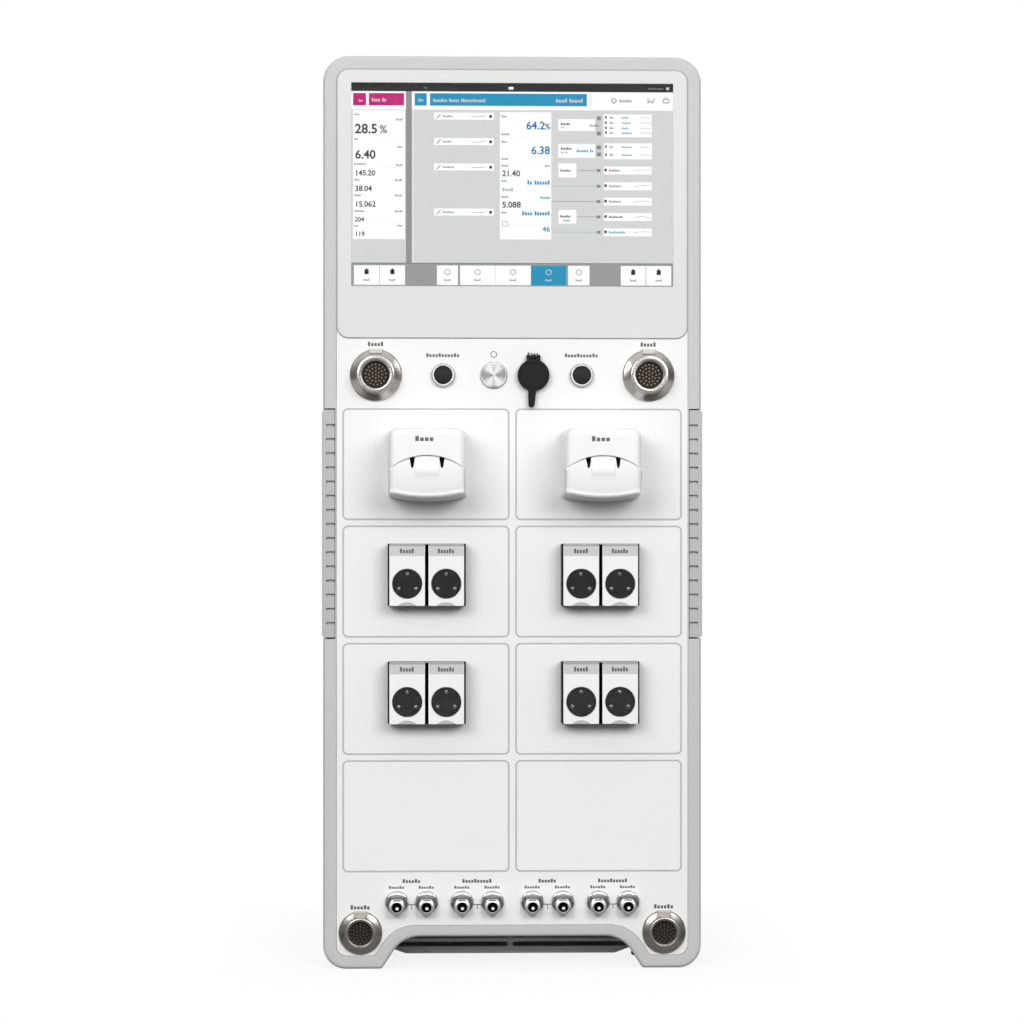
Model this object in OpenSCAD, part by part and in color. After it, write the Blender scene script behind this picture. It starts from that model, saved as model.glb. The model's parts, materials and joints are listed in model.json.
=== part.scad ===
/* [Cabinet] */
// Width over the front frame
frame_w = 344; // [340:1:350]
// Height of the cabinet's top above the bench
cabinet_h = 830; // [826:1:836]
// Depth from the front panel's face to the end of the cover
cabinet_d = 385; // [370:5:400]
// Width of the rim that shows round the front panel
rim = 12; // [11.5:0.5:13]
// Radius of the two top corners
top_corner_r = 24; // [20:1:28]
// Radius of the outer corners of the two front legs
leg_corner_r = 21; // [18:1:22]
// Height of the arch between the front legs
arch_h = 29.2; // [28:0.2:31]
// Half width of the arch at the floor
arch_half_w = 118.6; // [117:0.1:120]
// Slope of the arch's ends from the floor
arch_slope = 57; // [54:1:59]

/* [Display] */
// Width of the display bezel
display_w = 317.6; // [314:0.2:318]
// Height of the bezel's lower edge
display_z0 = 573.8; // [572:0.2:576]
// Height of the bezel's upper edge
display_z1 = 816.8; // [812:0.2:817]
// Width of the screen
screen_w = 292.8; // [280:0.2:296]
// Height of the screen's lower edge
screen_z0 = 620.5; // [618:0.5:624]
// Height of the screen's upper edge
screen_z1 = 805.4; // [800:0.2:806]

/* [Bays] */
// Width of a bay plate
bay_w = 149; // [146:0.5:150]
// Height of a bay plate
bay_h = 99; // [96:0.5:100]
// Distance between the two columns of bays
bay_pitch_x = 157; // [156:0.5:158]
// Distance between the rows of bays
bay_pitch_z = 106.6; // [106:0.2:107]
// Height of the middle of the top row
top_row_z = 458.6; // [458:0.2:459]
// Gap round each bay plate
bay_gap = 1.4; // [1:0.1:2]

/* [Connector row] */
// Height of the connector row
row_z = 539.6; // [539:0.2:540]
// Distance from the middle to each probe socket
probe_x = 124; // [122:1:126]
// Distance from the middle to each temperature socket
temperature_x = 63; // [61:1:65]
// Place of the power button
button_x = -17; // [-18:0.5:-16]
// Place of the data socket
data_x = 19; // [18:0.5:20]

/* [Feed pumps] */
// How far the tongue of a feed pump stands out of the panel
feed_out = 60; // [58:1:62]
// Width of a feed pump at the panel
feed_w = 72; // [70:1:74]
// Height of a feed pump at the panel
feed_h = 66; // [65:0.5:67]
// Half the distance between a feed pump's two tube notches
notch_x = 13.2; // [12.8:0.1:13.6]

/* [Twin pumps] */
// Width of a twin pump
twin_w = 70.6; // [70:0.2:72]
// How far the white faces of a twin pump stand out of the panel
twin_out = 22; // [21:0.5:24]
// Distance from a twin pump's middle to each rotor axis
head_x = 17.6; // [17.2:0.1:18]

/* [Couplings] */
// Distances from the middle to the four couplings of each side
coupling_xs = [18.2, 45.8, 78, 105];
// Height of the coupling bores
coupling_z = 57.2; // [56:0.2:58]
// Radius of a coupling's bore
coupling_bore_r = 4.5; // [4.3:0.1:4.6]
// Travel of a coupling's thumb latch
latch_travel = 2.4; // [2:0.1:2.4]

/* [Lower sockets] */
// Distance from the middle to each heater socket
heater_x = 138; // [137:0.5:139]
// Height of the heater sockets
heater_z = 33.2; // [33:0.1:34]

/* [Base] */
// How far the base pan's front wall stands behind the front panel
pan_setback = 80; // [70:1:90]
// Height of the rubber feet
foot_h = 8.5; // [8:0.5:9]

/* [Hidden] */
$fn = 64;
arc_steps = 8;
eps = 0.01;

rear_out = 12;
front_y = feed_out - (feed_out + cabinet_d + rear_out) / 2;
frame_z0 = 0.2;
rim_setback = 0.4;
panel_t = 3;
plate_t = 2.8;
lip_back = 5;
frame_d = 40;
frame_wall = 3;
sheet = 1.5;
seam = 0.3;

grip_z0 = 301.2;
grip_z1 = 508.3;
grip_gap = 1.2;
grip_pitch = 12.85;
grip_ribs = 16;
grip_d = 30;
grip_in_x = 161.3;
grip_out = 1;
grip_corner_r = 3;

cover_z0 = 12;
rear_y = cabinet_d - 2;

feed_shift = 1.2;
feed_z = 459;
feed_front = feed_out - 1.5;
feed_back = 11;
feed_front_w = 67.5;
feed_front_h = 59;
feed_bow = 2.7;
feed_corner_r = 8.5;
feed_lid_arc_r = 52.8;
feed_lid_peak = 6;
feed_base_arc_r = 59.5;
feed_base_peak = 3.3;
feed_rotor_z = -4;
feed_rotor_r = 14.8;
feed_chamber_r = 17.6;
lid_hinge_y = -16.5;
lid_hinge_z = 27;
lid_pin_r = 2;
lid_knuckle_w = 24;

twin_shift = 0.7;
twin_top = 34.5;
twin_bottom = -21.6;
twin_body_d = 16;
twin_face_w = 32;
head_z = -1.7;
window_r = 13.4;
twin_chamber_r = 13.9;

shaft_fit = 0.06;
feed_shaft_r = 3;
twin_shaft_r = 2;

cap_r = 14.45;
cap_hinge_z = 16.6;
cap_hinge_y = -2.4;
cap_pin_r = 0.8;

fan_z = 640;
fan_y0 = 354;
fan_d = 25;
fan_size = 119;
fan_bore_r = 57;

pan_z = 3.4;
pan_w = 340;
pan_top = 45.8;
pan_side = 20;
chassis_front = 64;
chassis_rear = cabinet_d - 32;
chassis_zs = [56, 297, 563, 812];
foot_x = 128;
foot_r = 14;
foot_ys = [pan_setback + 12, 350];

white = [0.93, 0.93, 0.92];
rim_grey = [0.76, 0.76, 0.77];
grip_grey = [0.66, 0.66, 0.67];
nickel = [0.72, 0.69, 0.66];
black = [0.08, 0.08, 0.08];
steel = [0.62, 0.62, 0.63];

TWINS = [[-1, 1], [1, 1], [-1, 2], [1, 2]];
COUPLINGS = concat([for (i = [3:-1:0]) -coupling_xs[i]], coupling_xs);
SIDES = ["left", "right"];

// Height of the middle of bay row i, counted from 0 at the top
function bay_z(i) = top_row_z - i * bay_pitch_z;

// Points of the arc that rounds corner b between a and c; b[2] is the radius
function corner_arc(a, b, c) =
    let (p = [a[0], a[1]], q = [b[0], b[1]], s = [c[0], c[1]])
    let (u = (p - q) / norm(p - q), v = (s - q) / norm(s - q))
    let (half = acos(u * v) / 2, m = (u + v) / norm(u + v))
    let (centre = q + m * b[2] / sin(half), start = q + u * b[2] / tan(half) - centre)
    let (way = u[0] * v[1] - u[1] * v[0] > 0 ? -1 : 1, turn = way * (180 - 2 * half))
    [for (i = [0:arc_steps]) let (t = turn * i / arc_steps)
        centre + [start[0] * cos(t) - start[1] * sin(t), start[0] * sin(t) + start[1] * cos(t)]];

// A closed path of [x, z, radius] points with each corner rounded to its radius
function rounded(path) = let (n = len(path))
    [for (i = [0:n - 1]) each path[i][2] == 0 ? [[path[i][0], path[i][1]]]
        : corner_arc(path[(i + n - 1) % n], path[i], path[(i + 1) % n])];

// Height at which the arch's sloping end, moved out by d, has half width x
function arch_x(z, d) = arch_half_w - (z - frame_z0) / tan(arch_slope) + d / sin(arch_slope);

// The cabinet front's outline moved inwards by d, with its two legs and the arch
function front_path(d, top, leg_r) =
    let (x = frame_w / 2 - d, z0 = frame_z0 + d, z1 = arch_h + 0.88 * d, bend = 29 + d / 2)
    [[-x, z0, leg_r], [-x, top, max(top_corner_r - d, 2)], [x, top, max(top_corner_r - d, 2)],
     [x, z0, leg_r], [arch_x(z0, d), z0, 3.5], [arch_x(z1, d), z1, bend],
     [-arch_x(z1, d), z1, bend], [-arch_x(z0, d), z0, 3.5]];

// Solid from a drawing in X and Z, between two depths
module along_y(y0, y1) translate([0, y1, 0]) rotate([90, 0, 0]) linear_extrude(y1 - y0) children();

// Cylinder on the Y axis between two depths
module rod_y(r, y0, y1) translate([0, y1, 0]) rotate([90, 0, 0]) cylinder(r = r, h = y1 - y0);

// Cylinder on the X axis, centred
module rod_x(r, w) rotate([0, 90, 0]) cylinder(r = r, h = w, center = true);

// Box between two corners
module box(a, b) translate(a) cube(b - a);

// Body turned round the Y axis from a drawing of radius and distance in front of the panel
module turned_y() rotate([90, 0, 0]) rotate_extrude() children();

module rounded_rect(w, h, r) polygon(rounded([[-w / 2, -h / 2, r], [-w / 2, h / 2, r],
    [w / 2, h / 2, r], [w / 2, -h / 2, r]]));

module rounded_frame(x0, z0, x1, z1, r) translate([(x0 + x1) / 2, (z0 + z1) / 2])
    rounded_rect(x1 - x0, z1 - z0, r);

// Flat slot with round ends, w long and h high
module slot(w, h) {
    square([w - h, h], center = true);
    for (side = [-1, 1]) translate([side * (w - h) / 2, 0]) circle(d = h);
}

// Moves the front panel's own frame, with its face at y = 0, to its place
module in_place() translate([0, front_y, 0]) children();

module front_outline(d, top = cabinet_h, leg_r = leg_corner_r)
    polygon(rounded(front_path(d, top - d, leg_r)));

module at_bays(i) for (side = [-1, 1]) translate([side * bay_pitch_x / 2, 0, bay_z(i)]) children();

// ---- Cabinet ----

module frame_layer(y0, y1, outer, inner) along_y(y0, y1) difference() {
    front_outline(outer, leg_r = max(leg_corner_r - outer, 8));
    front_outline(inner, leg_r = max(leg_corner_r - inner, 8));
}

module front_frame() color(rim_grey) in_place() difference() {
    union() {
        frame_layer(rim_setback, panel_t + 0.2, 3, rim);
        frame_layer(panel_t + 0.2, 7, 0, rim + 4);
        frame_layer(7, frame_d, 0, frame_wall);
    }
    for (side = [-1, 1]) scale([side, 1, 1])
        box([grip_in_x - 0.4, -1, grip_z0 - grip_gap], [frame_w, grip_d + 0.2, grip_z1 + grip_gap]);
}

module side_grip(side) color(grip_grey) in_place() mirror([side < 0 ? 1 : 0, 0, 0]) difference() {
    along_y(0.6, grip_d) polygon(rounded([[grip_in_x, grip_z0, 0], [grip_in_x, grip_z1, 0],
        [frame_w / 2 + grip_out, grip_z1, grip_corner_r], [frame_w / 2 + grip_out, grip_z0, grip_corner_r]]));
    for (i = [1:grip_ribs - 1])
        box([grip_in_x - 1, 0, grip_z0 + i * grip_pitch - 1.1],
            [frame_w / 2 - 2.8, 4, grip_z0 + i * grip_pitch + 1.1]);
}

module panel_holes() {
    for (side = [-1, 1]) {
        translate([side * probe_x, 0, row_z]) rod_y(18.2, -1, 9);
        translate([side * temperature_x, 0, row_z]) rod_y(9.1, -1, 9);
        translate([side * heater_x, 0, heater_z]) rod_y(14.8, -1, 9);
    }
    translate([button_x, 0, row_z]) rod_y(10.9, -1, 9);
    translate([data_x, 0, row_z]) rod_y(10.8, -1, 9);
    for (x = COUPLINGS) translate([x, 0, coupling_z]) rod_y(6.2, -1, 9);
}

module front_panel() color(white) in_place() difference() {
    union() {
        along_y(0, panel_t) difference() {
            intersection() {
                front_outline(rim + seam, leg_r = 9.2);
                rounded_frame(-frame_w / 2, 0, frame_w / 2, display_z0 + 7, 1);
            }
            rounded_frame(-display_w / 2 - 1.2, display_z0 - 1.2, display_w / 2 + 1.2, display_z1 + 1.2, 11.2);
            for (i = [0:3]) for (side = [-1, 1]) translate([side * bay_pitch_x / 2, bay_z(i)])
                rounded_rect(bay_w + 2 * bay_gap, bay_h + 2 * bay_gap, 5);
        }
        along_y(panel_t, lip_back) difference() {
            rounded_frame(-frame_w / 2 + 18, bay_z(3) - bay_h / 2 - 5, frame_w / 2 - 18,
                top_row_z + bay_h / 2 + 5, 4);
            for (i = [0:3]) for (side = [-1, 1]) translate([side * bay_pitch_x / 2, bay_z(i)])
                rounded_rect(bay_w - 8, bay_h - 8, 3);
        }
    }
    panel_holes();
}

// The cover's outline moved inwards by d, from height z0 up
module cover_section(d, z0 = cover_z0) polygon(rounded([[-frame_w / 2 + d, z0, 0],
    [-frame_w / 2 + d, cabinet_h - d, top_corner_r - d], [frame_w / 2 - d, cabinet_h - d, top_corner_r - d],
    [frame_w / 2 - d, z0, 0]]));

module cabinet_cover() color(rim_grey) in_place() along_y(frame_d, cabinet_d) difference() {
    cover_section(0);
    cover_section(sheet, cover_z0 - 1);
}

module at_screws() for (sx = [-1, 1]) for (z = [40, 280, 520, 790]) translate([sx * 160, 0, z]) children();

// Punched slots of height h that fill a circle of radius r, with a rib down the middle
module round_grille(r, pitch, h) for (z = [-r + pitch:pitch:r - pitch]) {
    half = sqrt(r * r - z * z) - 4;
    for (side = [-1, 1]) translate([side * half / 2, z]) slot(half - 4, h);
}

module rear_panel() color(rim_grey) in_place() difference() {
    along_y(rear_y - sheet, rear_y) difference() {
        cover_section(sheet + 0.3);
        translate([0, fan_z]) round_grille(fan_bore_r - 2, 8, 4);
        for (i = [0:9]) translate([0, 330 + 10 * i]) slot(160, 4);
        translate([-105, 80]) rounded_rect(48, 28, 2);
    }
    for (i = [0:3]) translate([60 + 26 * i, 0, 80]) rod_y(6.6, rear_y - 5, rear_y + 1);
    at_screws() rod_y(1.6, rear_y - 5, rear_y + 1);
}

// Lower edge of the base pan, raised by d: flat in the middle and stepped up at the sides
function pan_belly(d) = [[-pan_w / 2 + d, foot_h + d], [-112 + d / 3, foot_h + d], [-98 + d / 3, pan_z + d],
    [98 - d / 3, pan_z + d], [112 - d / 3, foot_h + d], [pan_w / 2 - d, foot_h + d]];

module base_pan() color(steel) in_place() difference() {
    union() {
        along_y(pan_setback, rear_y - 4) polygon(concat([[-pan_w / 2, pan_side]], pan_belly(0),
            [[pan_w / 2, pan_side], [pan_w / 2 - sheet, pan_side]],
            [for (i = [5:-1:0]) pan_belly(sheet)[i]], [[sheet - pan_w / 2, pan_side]]));
        along_y(pan_setback, pan_setback + sheet)
            polygon(concat([[-pan_w / 2, pan_top]], pan_belly(0), [[pan_w / 2, pan_top]]));
        box([-pan_w / 2, frame_d + 1, pan_top - sheet], [pan_w / 2, pan_setback + sheet, pan_top]);
    }
    for (i = [0:3]) for (side = [-1, 1]) translate([0, 0, 12 + 6.6 * i])
        along_y(pan_setback - 1, pan_setback + sheet + 1) translate([side * 57, 0]) slot(110, 4.4);
}

// One bulkhead of the chassis: a sheet at depth y, from height z0 up, with three large windows
module bulkhead(y, z0) along_y(y, y + 2) difference() {
    cover_section(sheet + 0.3, z0);
    for (i = [0:2])
        rounded_frame(-150, chassis_zs[i] + 10, 150, chassis_zs[i + 1], 0.5);
}

module inner_chassis() color(steel) in_place() {
    bulkhead(chassis_front, pan_top + 0.2);
    bulkhead(chassis_rear, pan_side + 0.2);
}

module rubber_feet() color(black) in_place() for (sx = [-1, 1]) for (y = foot_ys)
    translate([sx * foot_x, y, 0]) rotate_extrude()
        polygon([[0, 0], [foot_r - 1, 0], [foot_r, 1], [foot_r - 1, foot_h], [0, foot_h]]);

module rear_screws() color(steel) in_place() at_screws() {
    rod_y(3.2, rear_y, rear_y + 1.6);
    rod_y(1.5, rear_y - 6, rear_y + eps);
}

// ---- Display ----

module display_bezel() color(white) in_place() difference() {
    union() {
        along_y(-0.8, panel_t) rounded_frame(-display_w / 2, display_z0, display_w / 2, display_z1, 10);
        along_y(panel_t, 6)
            rounded_frame(-display_w / 2 + 5, display_z0 + 5, display_w / 2 - 5, display_z1 - 5, 5);
    }
    along_y(-1, 7) rounded_frame(-screen_w / 2, screen_z0, screen_w / 2, screen_z1, 0.5);
}

module touch_glass() color([0.7, 0.75, 0.78, 0.4]) in_place() along_y(0.2, 1.6)
    rounded_frame(-screen_w / 2 + 0.2, screen_z0 + 0.2, screen_w / 2 - 0.2, screen_z1 - 0.2, 0.5);

module lcd_panel() color([0.75, 0.77, 0.78]) in_place()
    box([-screen_w / 2 + 0.3, 1.8, screen_z0 + 0.3], [screen_w / 2 - 0.3, 11, screen_z1 - 0.3]);

module control_computer() color(steel) in_place() {
    box([-110, 14, 640], [110, 46, 790]);
    for (i = [0:10]) box([-100 + 20 * i - 1.5, 46 - eps, 650], [-100 + 20 * i + 1.5, 58, 780]);
}

// ---- Bay plates ----

module bay_plate() along_y(0, plate_t) rounded_rect(bay_w, bay_h, 3.6);

module feed_bay_plates() color(white) in_place() at_bays(0) difference() {
    bay_plate();
    translate([feed_shift, 0, feed_z + feed_rotor_z - top_row_z]) rod_y(6.5, -1, 9);
}

module twin_bay_plates() color(white) in_place() for (i = [1, 2]) at_bays(i) difference() {
    bay_plate();
    for (x = [-head_x, head_x]) translate([twin_shift + x, 0, head_z]) rod_y(5.5, -1, 9);
}

module blank_bay_plates() color(white) in_place() at_bays(3) bay_plate();

// ---- Feed pumps ----

module at_feed(side) in_place() translate([side * bay_pitch_x / 2 + feed_shift, 0, feed_z]) children();

// A feed pump's outline: round upper corners and a lower edge that bows down in the middle
module feed_outline(w, h) polygon(rounded(concat([[w / 2, feed_bow - h / 2, 2.5], [w / 2, h / 2, feed_corner_r],
    [-w / 2, h / 2, feed_corner_r], [-w / 2, feed_bow - h / 2, 2.5]],
    [for (i = [-4:4]) [i * w / 10, feed_bow * pow(i / 5, 2) - h / 2, 0]])));

// The tapered body of a feed pump, before it is parted into base and lid
module feed_form() hull() {
    along_y(-1, 0) feed_outline(feed_w, feed_h);
    along_y(-feed_front, 1 - feed_front) feed_outline(feed_front_w, feed_front_h);
}

module feed_chamber() translate([0, 0, feed_rotor_z]) rod_y(feed_chamber_r, -50, -feed_back);

// Slot for a tube in a feed pump's front wall, narrower towards its round end
module feed_notch() along_y(-feed_out - 1, -49) union() {
    polygon([[-1.1, -4.4], [-2.2, 2], [-2.2, 9], [2.2, 9], [2.2, 2], [1.1, -4.4]]);
    translate([0, -4.4]) circle(r = 1.1);
}

module feed_base(side) color(white) at_feed(side) difference() {
    union() {
        intersection() {
            feed_form();
            box([-40, -feed_back, -40], [40, 0, 40]);
        }
        intersection() {
            feed_form();
            union() {
                translate([0, 0, feed_base_peak - feed_base_arc_r]) rod_y(feed_base_arc_r, -feed_front, -1);
                box([-40, -feed_front, -60], [40, -1, -7.4]);
            }
        }
        intersection() {
            along_y(-feed_out, 2 - feed_front) rounded_frame(-11, -10.5, 11, 8, 3);
            translate([0, 0, feed_base_peak - feed_base_arc_r]) rod_y(feed_base_arc_r, -feed_out, -1);
        }
        box([-lid_knuckle_w / 2, lid_hinge_y, lid_hinge_z - 4],
            [lid_knuckle_w / 2, 1 - feed_back, lid_hinge_z + 4]);
        translate([0, lid_hinge_y, lid_hinge_z]) rod_x(4, lid_knuckle_w);
    }
    feed_chamber();
    for (x = [-notch_x, notch_x]) translate([x, 0, 0]) feed_notch();
    translate([0, 0, feed_rotor_z]) rod_y(5, -feed_back - 1, 1);
    translate([0, lid_hinge_y, lid_hinge_z]) rod_x(lid_pin_r + shaft_fit, feed_w);
}

module feed_lid(side) color(white) at_feed(side) {
    difference() {
        intersection() {
            feed_form();
            box([-40, -feed_front, -6.2], [40, -feed_back - 1, 40]);
        }
        translate([0, 0, feed_lid_peak - feed_lid_arc_r]) rod_y(feed_lid_arc_r, -feed_front - 1, 0);
        feed_chamber();
        difference() {
            box([-40, lid_hinge_y, lid_hinge_z], [40, 0, 40]);
            translate([0, lid_hinge_y, lid_hinge_z]) rod_x(4.4, feed_w + 8);
        }
        box([-lid_knuckle_w / 2 - 0.4, lid_hinge_y - 5, lid_hinge_z - 6], [lid_knuckle_w / 2 + 0.4, 0, 40]);
    }
    translate([0, lid_hinge_y, lid_hinge_z]) rod_x(lid_pin_r, lid_knuckle_w + 4);
}

module feed_rotor(side) color(black) at_feed(side) translate([0, 0, feed_rotor_z]) {
    rod_y(14, -48, -45);
    rod_y(14, -20, -17);
    rod_y(5, -48, -17);
    for (a = [90, 210, 330]) rotate([0, a, 0]) translate([feed_rotor_r - 4, 0, 0]) rod_y(4, -46, -19);
    rod_y(feed_shaft_r, -18, 14);
}

// ---- Twin pumps ----

module at_twin(place) in_place()
    translate([place[0] * bay_pitch_x / 2 + twin_shift, 0, bay_z(place[1])]) children();

module at_heads() for (x = [-head_x, head_x]) translate([x, 0, head_z]) children();

module twin_body(place) color([0.16, 0.16, 0.17]) at_twin(place) difference() {
    along_y(-twin_body_d, 0) rounded_frame(-twin_w / 2, twin_bottom, twin_w / 2, twin_top, 0.8);
    at_heads() {
        rod_y(twin_chamber_r, -twin_body_d - 1, -3.5);
        rod_y(4, -4, 1);
        box([-7.5, -13, -30], [7.5, -7, -10]);
    }
}

module twin_face() difference() {
    along_y(-twin_out, -twin_body_d - 0.2)
        rounded_frame(-twin_face_w / 2, twin_bottom - head_z, twin_face_w / 2, twin_top - head_z - 0.8, 1.2);
    rod_y(window_r + 0.3, -twin_out - 1, 3 - twin_out);
    rod_y(window_r - 0.8, -twin_out, 0);
    translate([0, 0, twin_bottom - head_z - 9.7]) rod_y(12.9, -twin_out - 1, 3.5 - twin_out);
}

module twin_faces() color(white) for (place = TWINS) at_twin(place) at_heads() twin_face();

module roller_windows() color([0.1, 0.1, 0.1, 0.6]) for (place = TWINS) at_twin(place) at_heads()
    rod_y(window_r, 1.4 - twin_out, 2.8 - twin_out);

module twin_rotor(i) color(black) at_twin(TWINS[floor((i - 1) / 2)])
    translate([(i - 1) % 2 == 0 ? -head_x : head_x, 0, head_z]) {
        rod_y(11.8, -15.6, -13.6);
        rod_y(11.8, -7, -5);
        rod_y(4, -15.6, -5);
        for (a = [30, 150, 270]) rotate([0, a, 0]) translate([9, 0, 0]) rod_y(3.2, -14, -6);
        rod_y(twin_shaft_r, -6, 12);
    }

module motor(r, d, shaft_r) difference() {
    union() {
        rod_y(r, 5.2, d);
        rod_y(shaft_r + 2.2, plate_t + 0.2, 6);
    }
    rod_y(shaft_r + shaft_fit, 0, 14.5);
}

module pump_motors() color(steel) {
    for (side = [-1, 1]) at_feed(side) translate([0, 0, feed_rotor_z]) motor(19, 60, feed_shaft_r);
    for (place = TWINS) at_twin(place) at_heads() motor(13, 43, twin_shaft_r);
}

// ---- Connector row and lower sockets ----

// Shell of a round socket: a bevelled flange, a sleeve that stands out, and a barrel through the panel
module socket_shell(flange_r, sleeve_r, bore_r, out, insert_in, barrel) turned_y() polygon([
    [bore_r, out], [sleeve_r - 0.8, out], [sleeve_r, out - 0.8], [sleeve_r, 4.2], [flange_r - 2, 4.2],
    [flange_r, 2.4], [flange_r, 0], [sleeve_r, 0], [sleeve_r, -barrel], [bore_r - 0.5, -barrel],
    [bore_r - 0.5, insert_in], [bore_r, insert_in]]);

module socket_shells() color(nickel) in_place() for (side = [-1, 1]) {
    translate([side * probe_x, 0, row_z]) socket_shell(23.75, 17.4, 13, 16, 9.5, 24);
    translate([side * heater_x, 0, heater_z]) socket_shell(19.8, 14.4, 11.2, 10, 5.5, 20);
}

module temperature_rings() color([0.7, 0.7, 0.71]) in_place() for (side = [-1, 1])
    translate([side * temperature_x, 0, row_z]) turned_y() polygon([[8.4, 5], [9.6, 5], [10.75, 3.8],
        [10.75, 0], [8.9, 0], [8.9, -16], [7.9, -16], [7.9, 2.6], [8.4, 2.6]]);

module socket_inserts() color(black) in_place() for (side = [-1, 1]) {
    translate([side * probe_x, 0, row_z]) rod_y(12.4, -9.5, 20);
    translate([side * heater_x, 0, heater_z]) rod_y(10.6, -5.5, 16);
    translate([side * temperature_x, 0, row_z]) rod_y(7.8, -2.6, 12);
}

module button_ring() color(steel) in_place() translate([button_x, 0, row_z]) turned_y()
    polygon([[10, 2.2], [11.4, 2.2], [12.3, 1.3], [12.3, 0], [10.75, 0],
        [10.75, -22], [8, -22], [8, -6], [10, -6]]);

module power_button() color([0.66, 0.66, 0.66]) in_place() translate([button_x, 0, row_z]) {
    rod_y(9.7, -2.8, 2.4);
    rod_y(3, 2, 20);
}

module usb_socket() color(black) in_place() translate([data_x, 0, row_z]) difference() {
    union() {
        rod_y(12.5, -3, 0);
        rod_y(10.5, -0.5, 26);
        box([-2.4, -3, 11], [2.4, 0, cap_hinge_z]);
        translate([0, cap_hinge_y, cap_hinge_z]) rod_x(2, 4.8);
    }
    box([-6.7, -4, -3], [6.7, 15, 3]);
    translate([0, cap_hinge_y, cap_hinge_z]) rod_x(cap_pin_r + shaft_fit, 10);
}

module usb_cap() color(black) in_place() translate([data_x, 0, row_z]) {
    difference() {
        union() {
            rod_y(cap_r, -6.2, -1);
            for (sx = [-1, 1]) scale([sx, 1, 1]) box([2.9, -6.2, 8], [6.2, cap_hinge_y + 1, cap_hinge_z]);
            along_y(-6.2, -3.8) polygon([[-5, -12], [-4.6, -27], [0.9, -27], [2.8, -12]]);
            translate([-1.85, 0, -26.7]) rod_y(2.76, -6.2, -3.8);
        }
        rod_y(12.9, -3.4, 0);
        box([-7.5, -3.4, 3], [7.5, 0, 14.6]);
        box([-2.9, -7, 13], [2.9, 0, 30]);
    }
    for (sx = [-1, 1]) translate([sx * 4.55, cap_hinge_y, cap_hinge_z]) rod_x(2, 3.3);
    translate([0, cap_hinge_y, cap_hinge_z]) rod_x(cap_pin_r, 6);
}

// ---- Couplings ----

// Egg outline: a large circle above a small one, joined by their common tangents
module egg(big_r, small_r, drop) let (a = asin((big_r - small_r) / drop)) union() {
    circle(r = big_r);
    translate([0, -drop]) circle(r = small_r);
    polygon([[big_r * cos(a), -big_r * sin(a)], [small_r * cos(a), -drop - small_r * sin(a)],
        [-small_r * cos(a), -drop - small_r * sin(a)], [-big_r * cos(a), -big_r * sin(a)]]);
}

module coupling_body() difference() {
    union() {
        along_y(-4, 0) translate([0, 3.6]) egg(10.8, 4.8, 8.4);
        rod_y(8.2, -12, 0);
        rod_y(6, 0, 22);
    }
    rod_y(coupling_bore_r, -13, -3);
    difference() {
        rod_y(3.2, -4, 18);
        rod_y(2, -3.6, 18);
    }
    box([-7, -13, 5.9], [7, -4, 12]);
    box([-2.3, -5, 5.2], [2.3, -2.6, 20]);
}

module coupling_bodies() color([0.78, 0.78, 0.79]) in_place() for (x = COUPLINGS)
    translate([x, 0, coupling_z]) coupling_body();

module coupling_latch(i) color([0.82, 0.82, 0.83]) in_place() translate([COUPLINGS[i - 1], 0, coupling_z]) {
    along_y(-12, -4.3) intersection() {
        translate([-6.2, 8.5]) square([12.4, 8]);
        translate([0, 3.6]) circle(r = 10.4);
    }
    box([-2, -4.5, 8.5], [2, -2.9, 13]);
}

// ---- Inside and rear ----

module power_supply() color(steel) in_place() box([-150, 230, 24], [-20, 340, 70]);

module gas_module() color([0.7, 0.71, 0.72]) in_place() {
    box([50, 310, 66], [160, 350, 94]);
    for (i = [0:3]) box([50 + 28 * i, 315, 94 - eps], [70 + 28 * i, 345, 160]);
}

module gas_inlets() color(nickel) in_place() for (i = [0:3]) translate([60 + 26 * i, 0, 80]) difference() {
    union() {
        rod_y(9, rear_y, rear_y + 4);
        rod_y(7, rear_y, rear_y + 14);
        rod_y(6.4, rear_y - 20, rear_y + eps);
    }
    rod_y(3, rear_y, rear_y + 15);
    rod_y(2, rear_y - 21, rear_y + 1);
}

module mains_inlet() color(black) in_place() translate([-105, 0, 80]) {
    difference() {
        union() {
            along_y(rear_y, rear_y + 3) rounded_rect(56, 34, 3);
            along_y(rear_y - 24, rear_y + eps) rounded_rect(47, 27, 2);
        }
        along_y(rear_y - 17, rear_y + 4) rounded_rect(24.4, 16.6, 2);
    }
    for (x = [-7, 0, 7]) box([x - 1, rear_y - 18, x == 0 ? -1 : -4], [x + 1, rear_y - 5, x == 0 ? 3 : 0]);
}

module fan_frame() color(black) in_place() translate([0, 0, fan_z]) {
    difference() {
        along_y(fan_y0, fan_y0 + fan_d) rounded_rect(fan_size, fan_size, 6);
        rod_y(fan_bore_r, fan_y0 - 1, fan_y0 + fan_d + 1);
    }
    difference() {
        union() {
            rod_y(20, fan_y0, fan_y0 + 3);
            for (a = [45:90:315]) rotate([0, a, 0]) box([18, fan_y0, -2.5], [fan_bore_r + 1, fan_y0 + 3, 2.5]);
        }
        rod_y(2 + shaft_fit, fan_y0 - 1, fan_y0 + 4);
    }
}

module fan_rotor() color(black) in_place() translate([0, 0, fan_z]) {
    rod_y(20, fan_y0 + 3.6, fan_y0 + 23);
    rod_y(2, fan_y0 + 0.5, fan_y0 + 4);
    for (i = [0:6]) rotate([0, i * 360 / 7, 0]) translate([37, fan_y0 + 13, 0]) rotate([40, 0, 0])
        cube([36, 2, 22], center = true);
}

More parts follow.
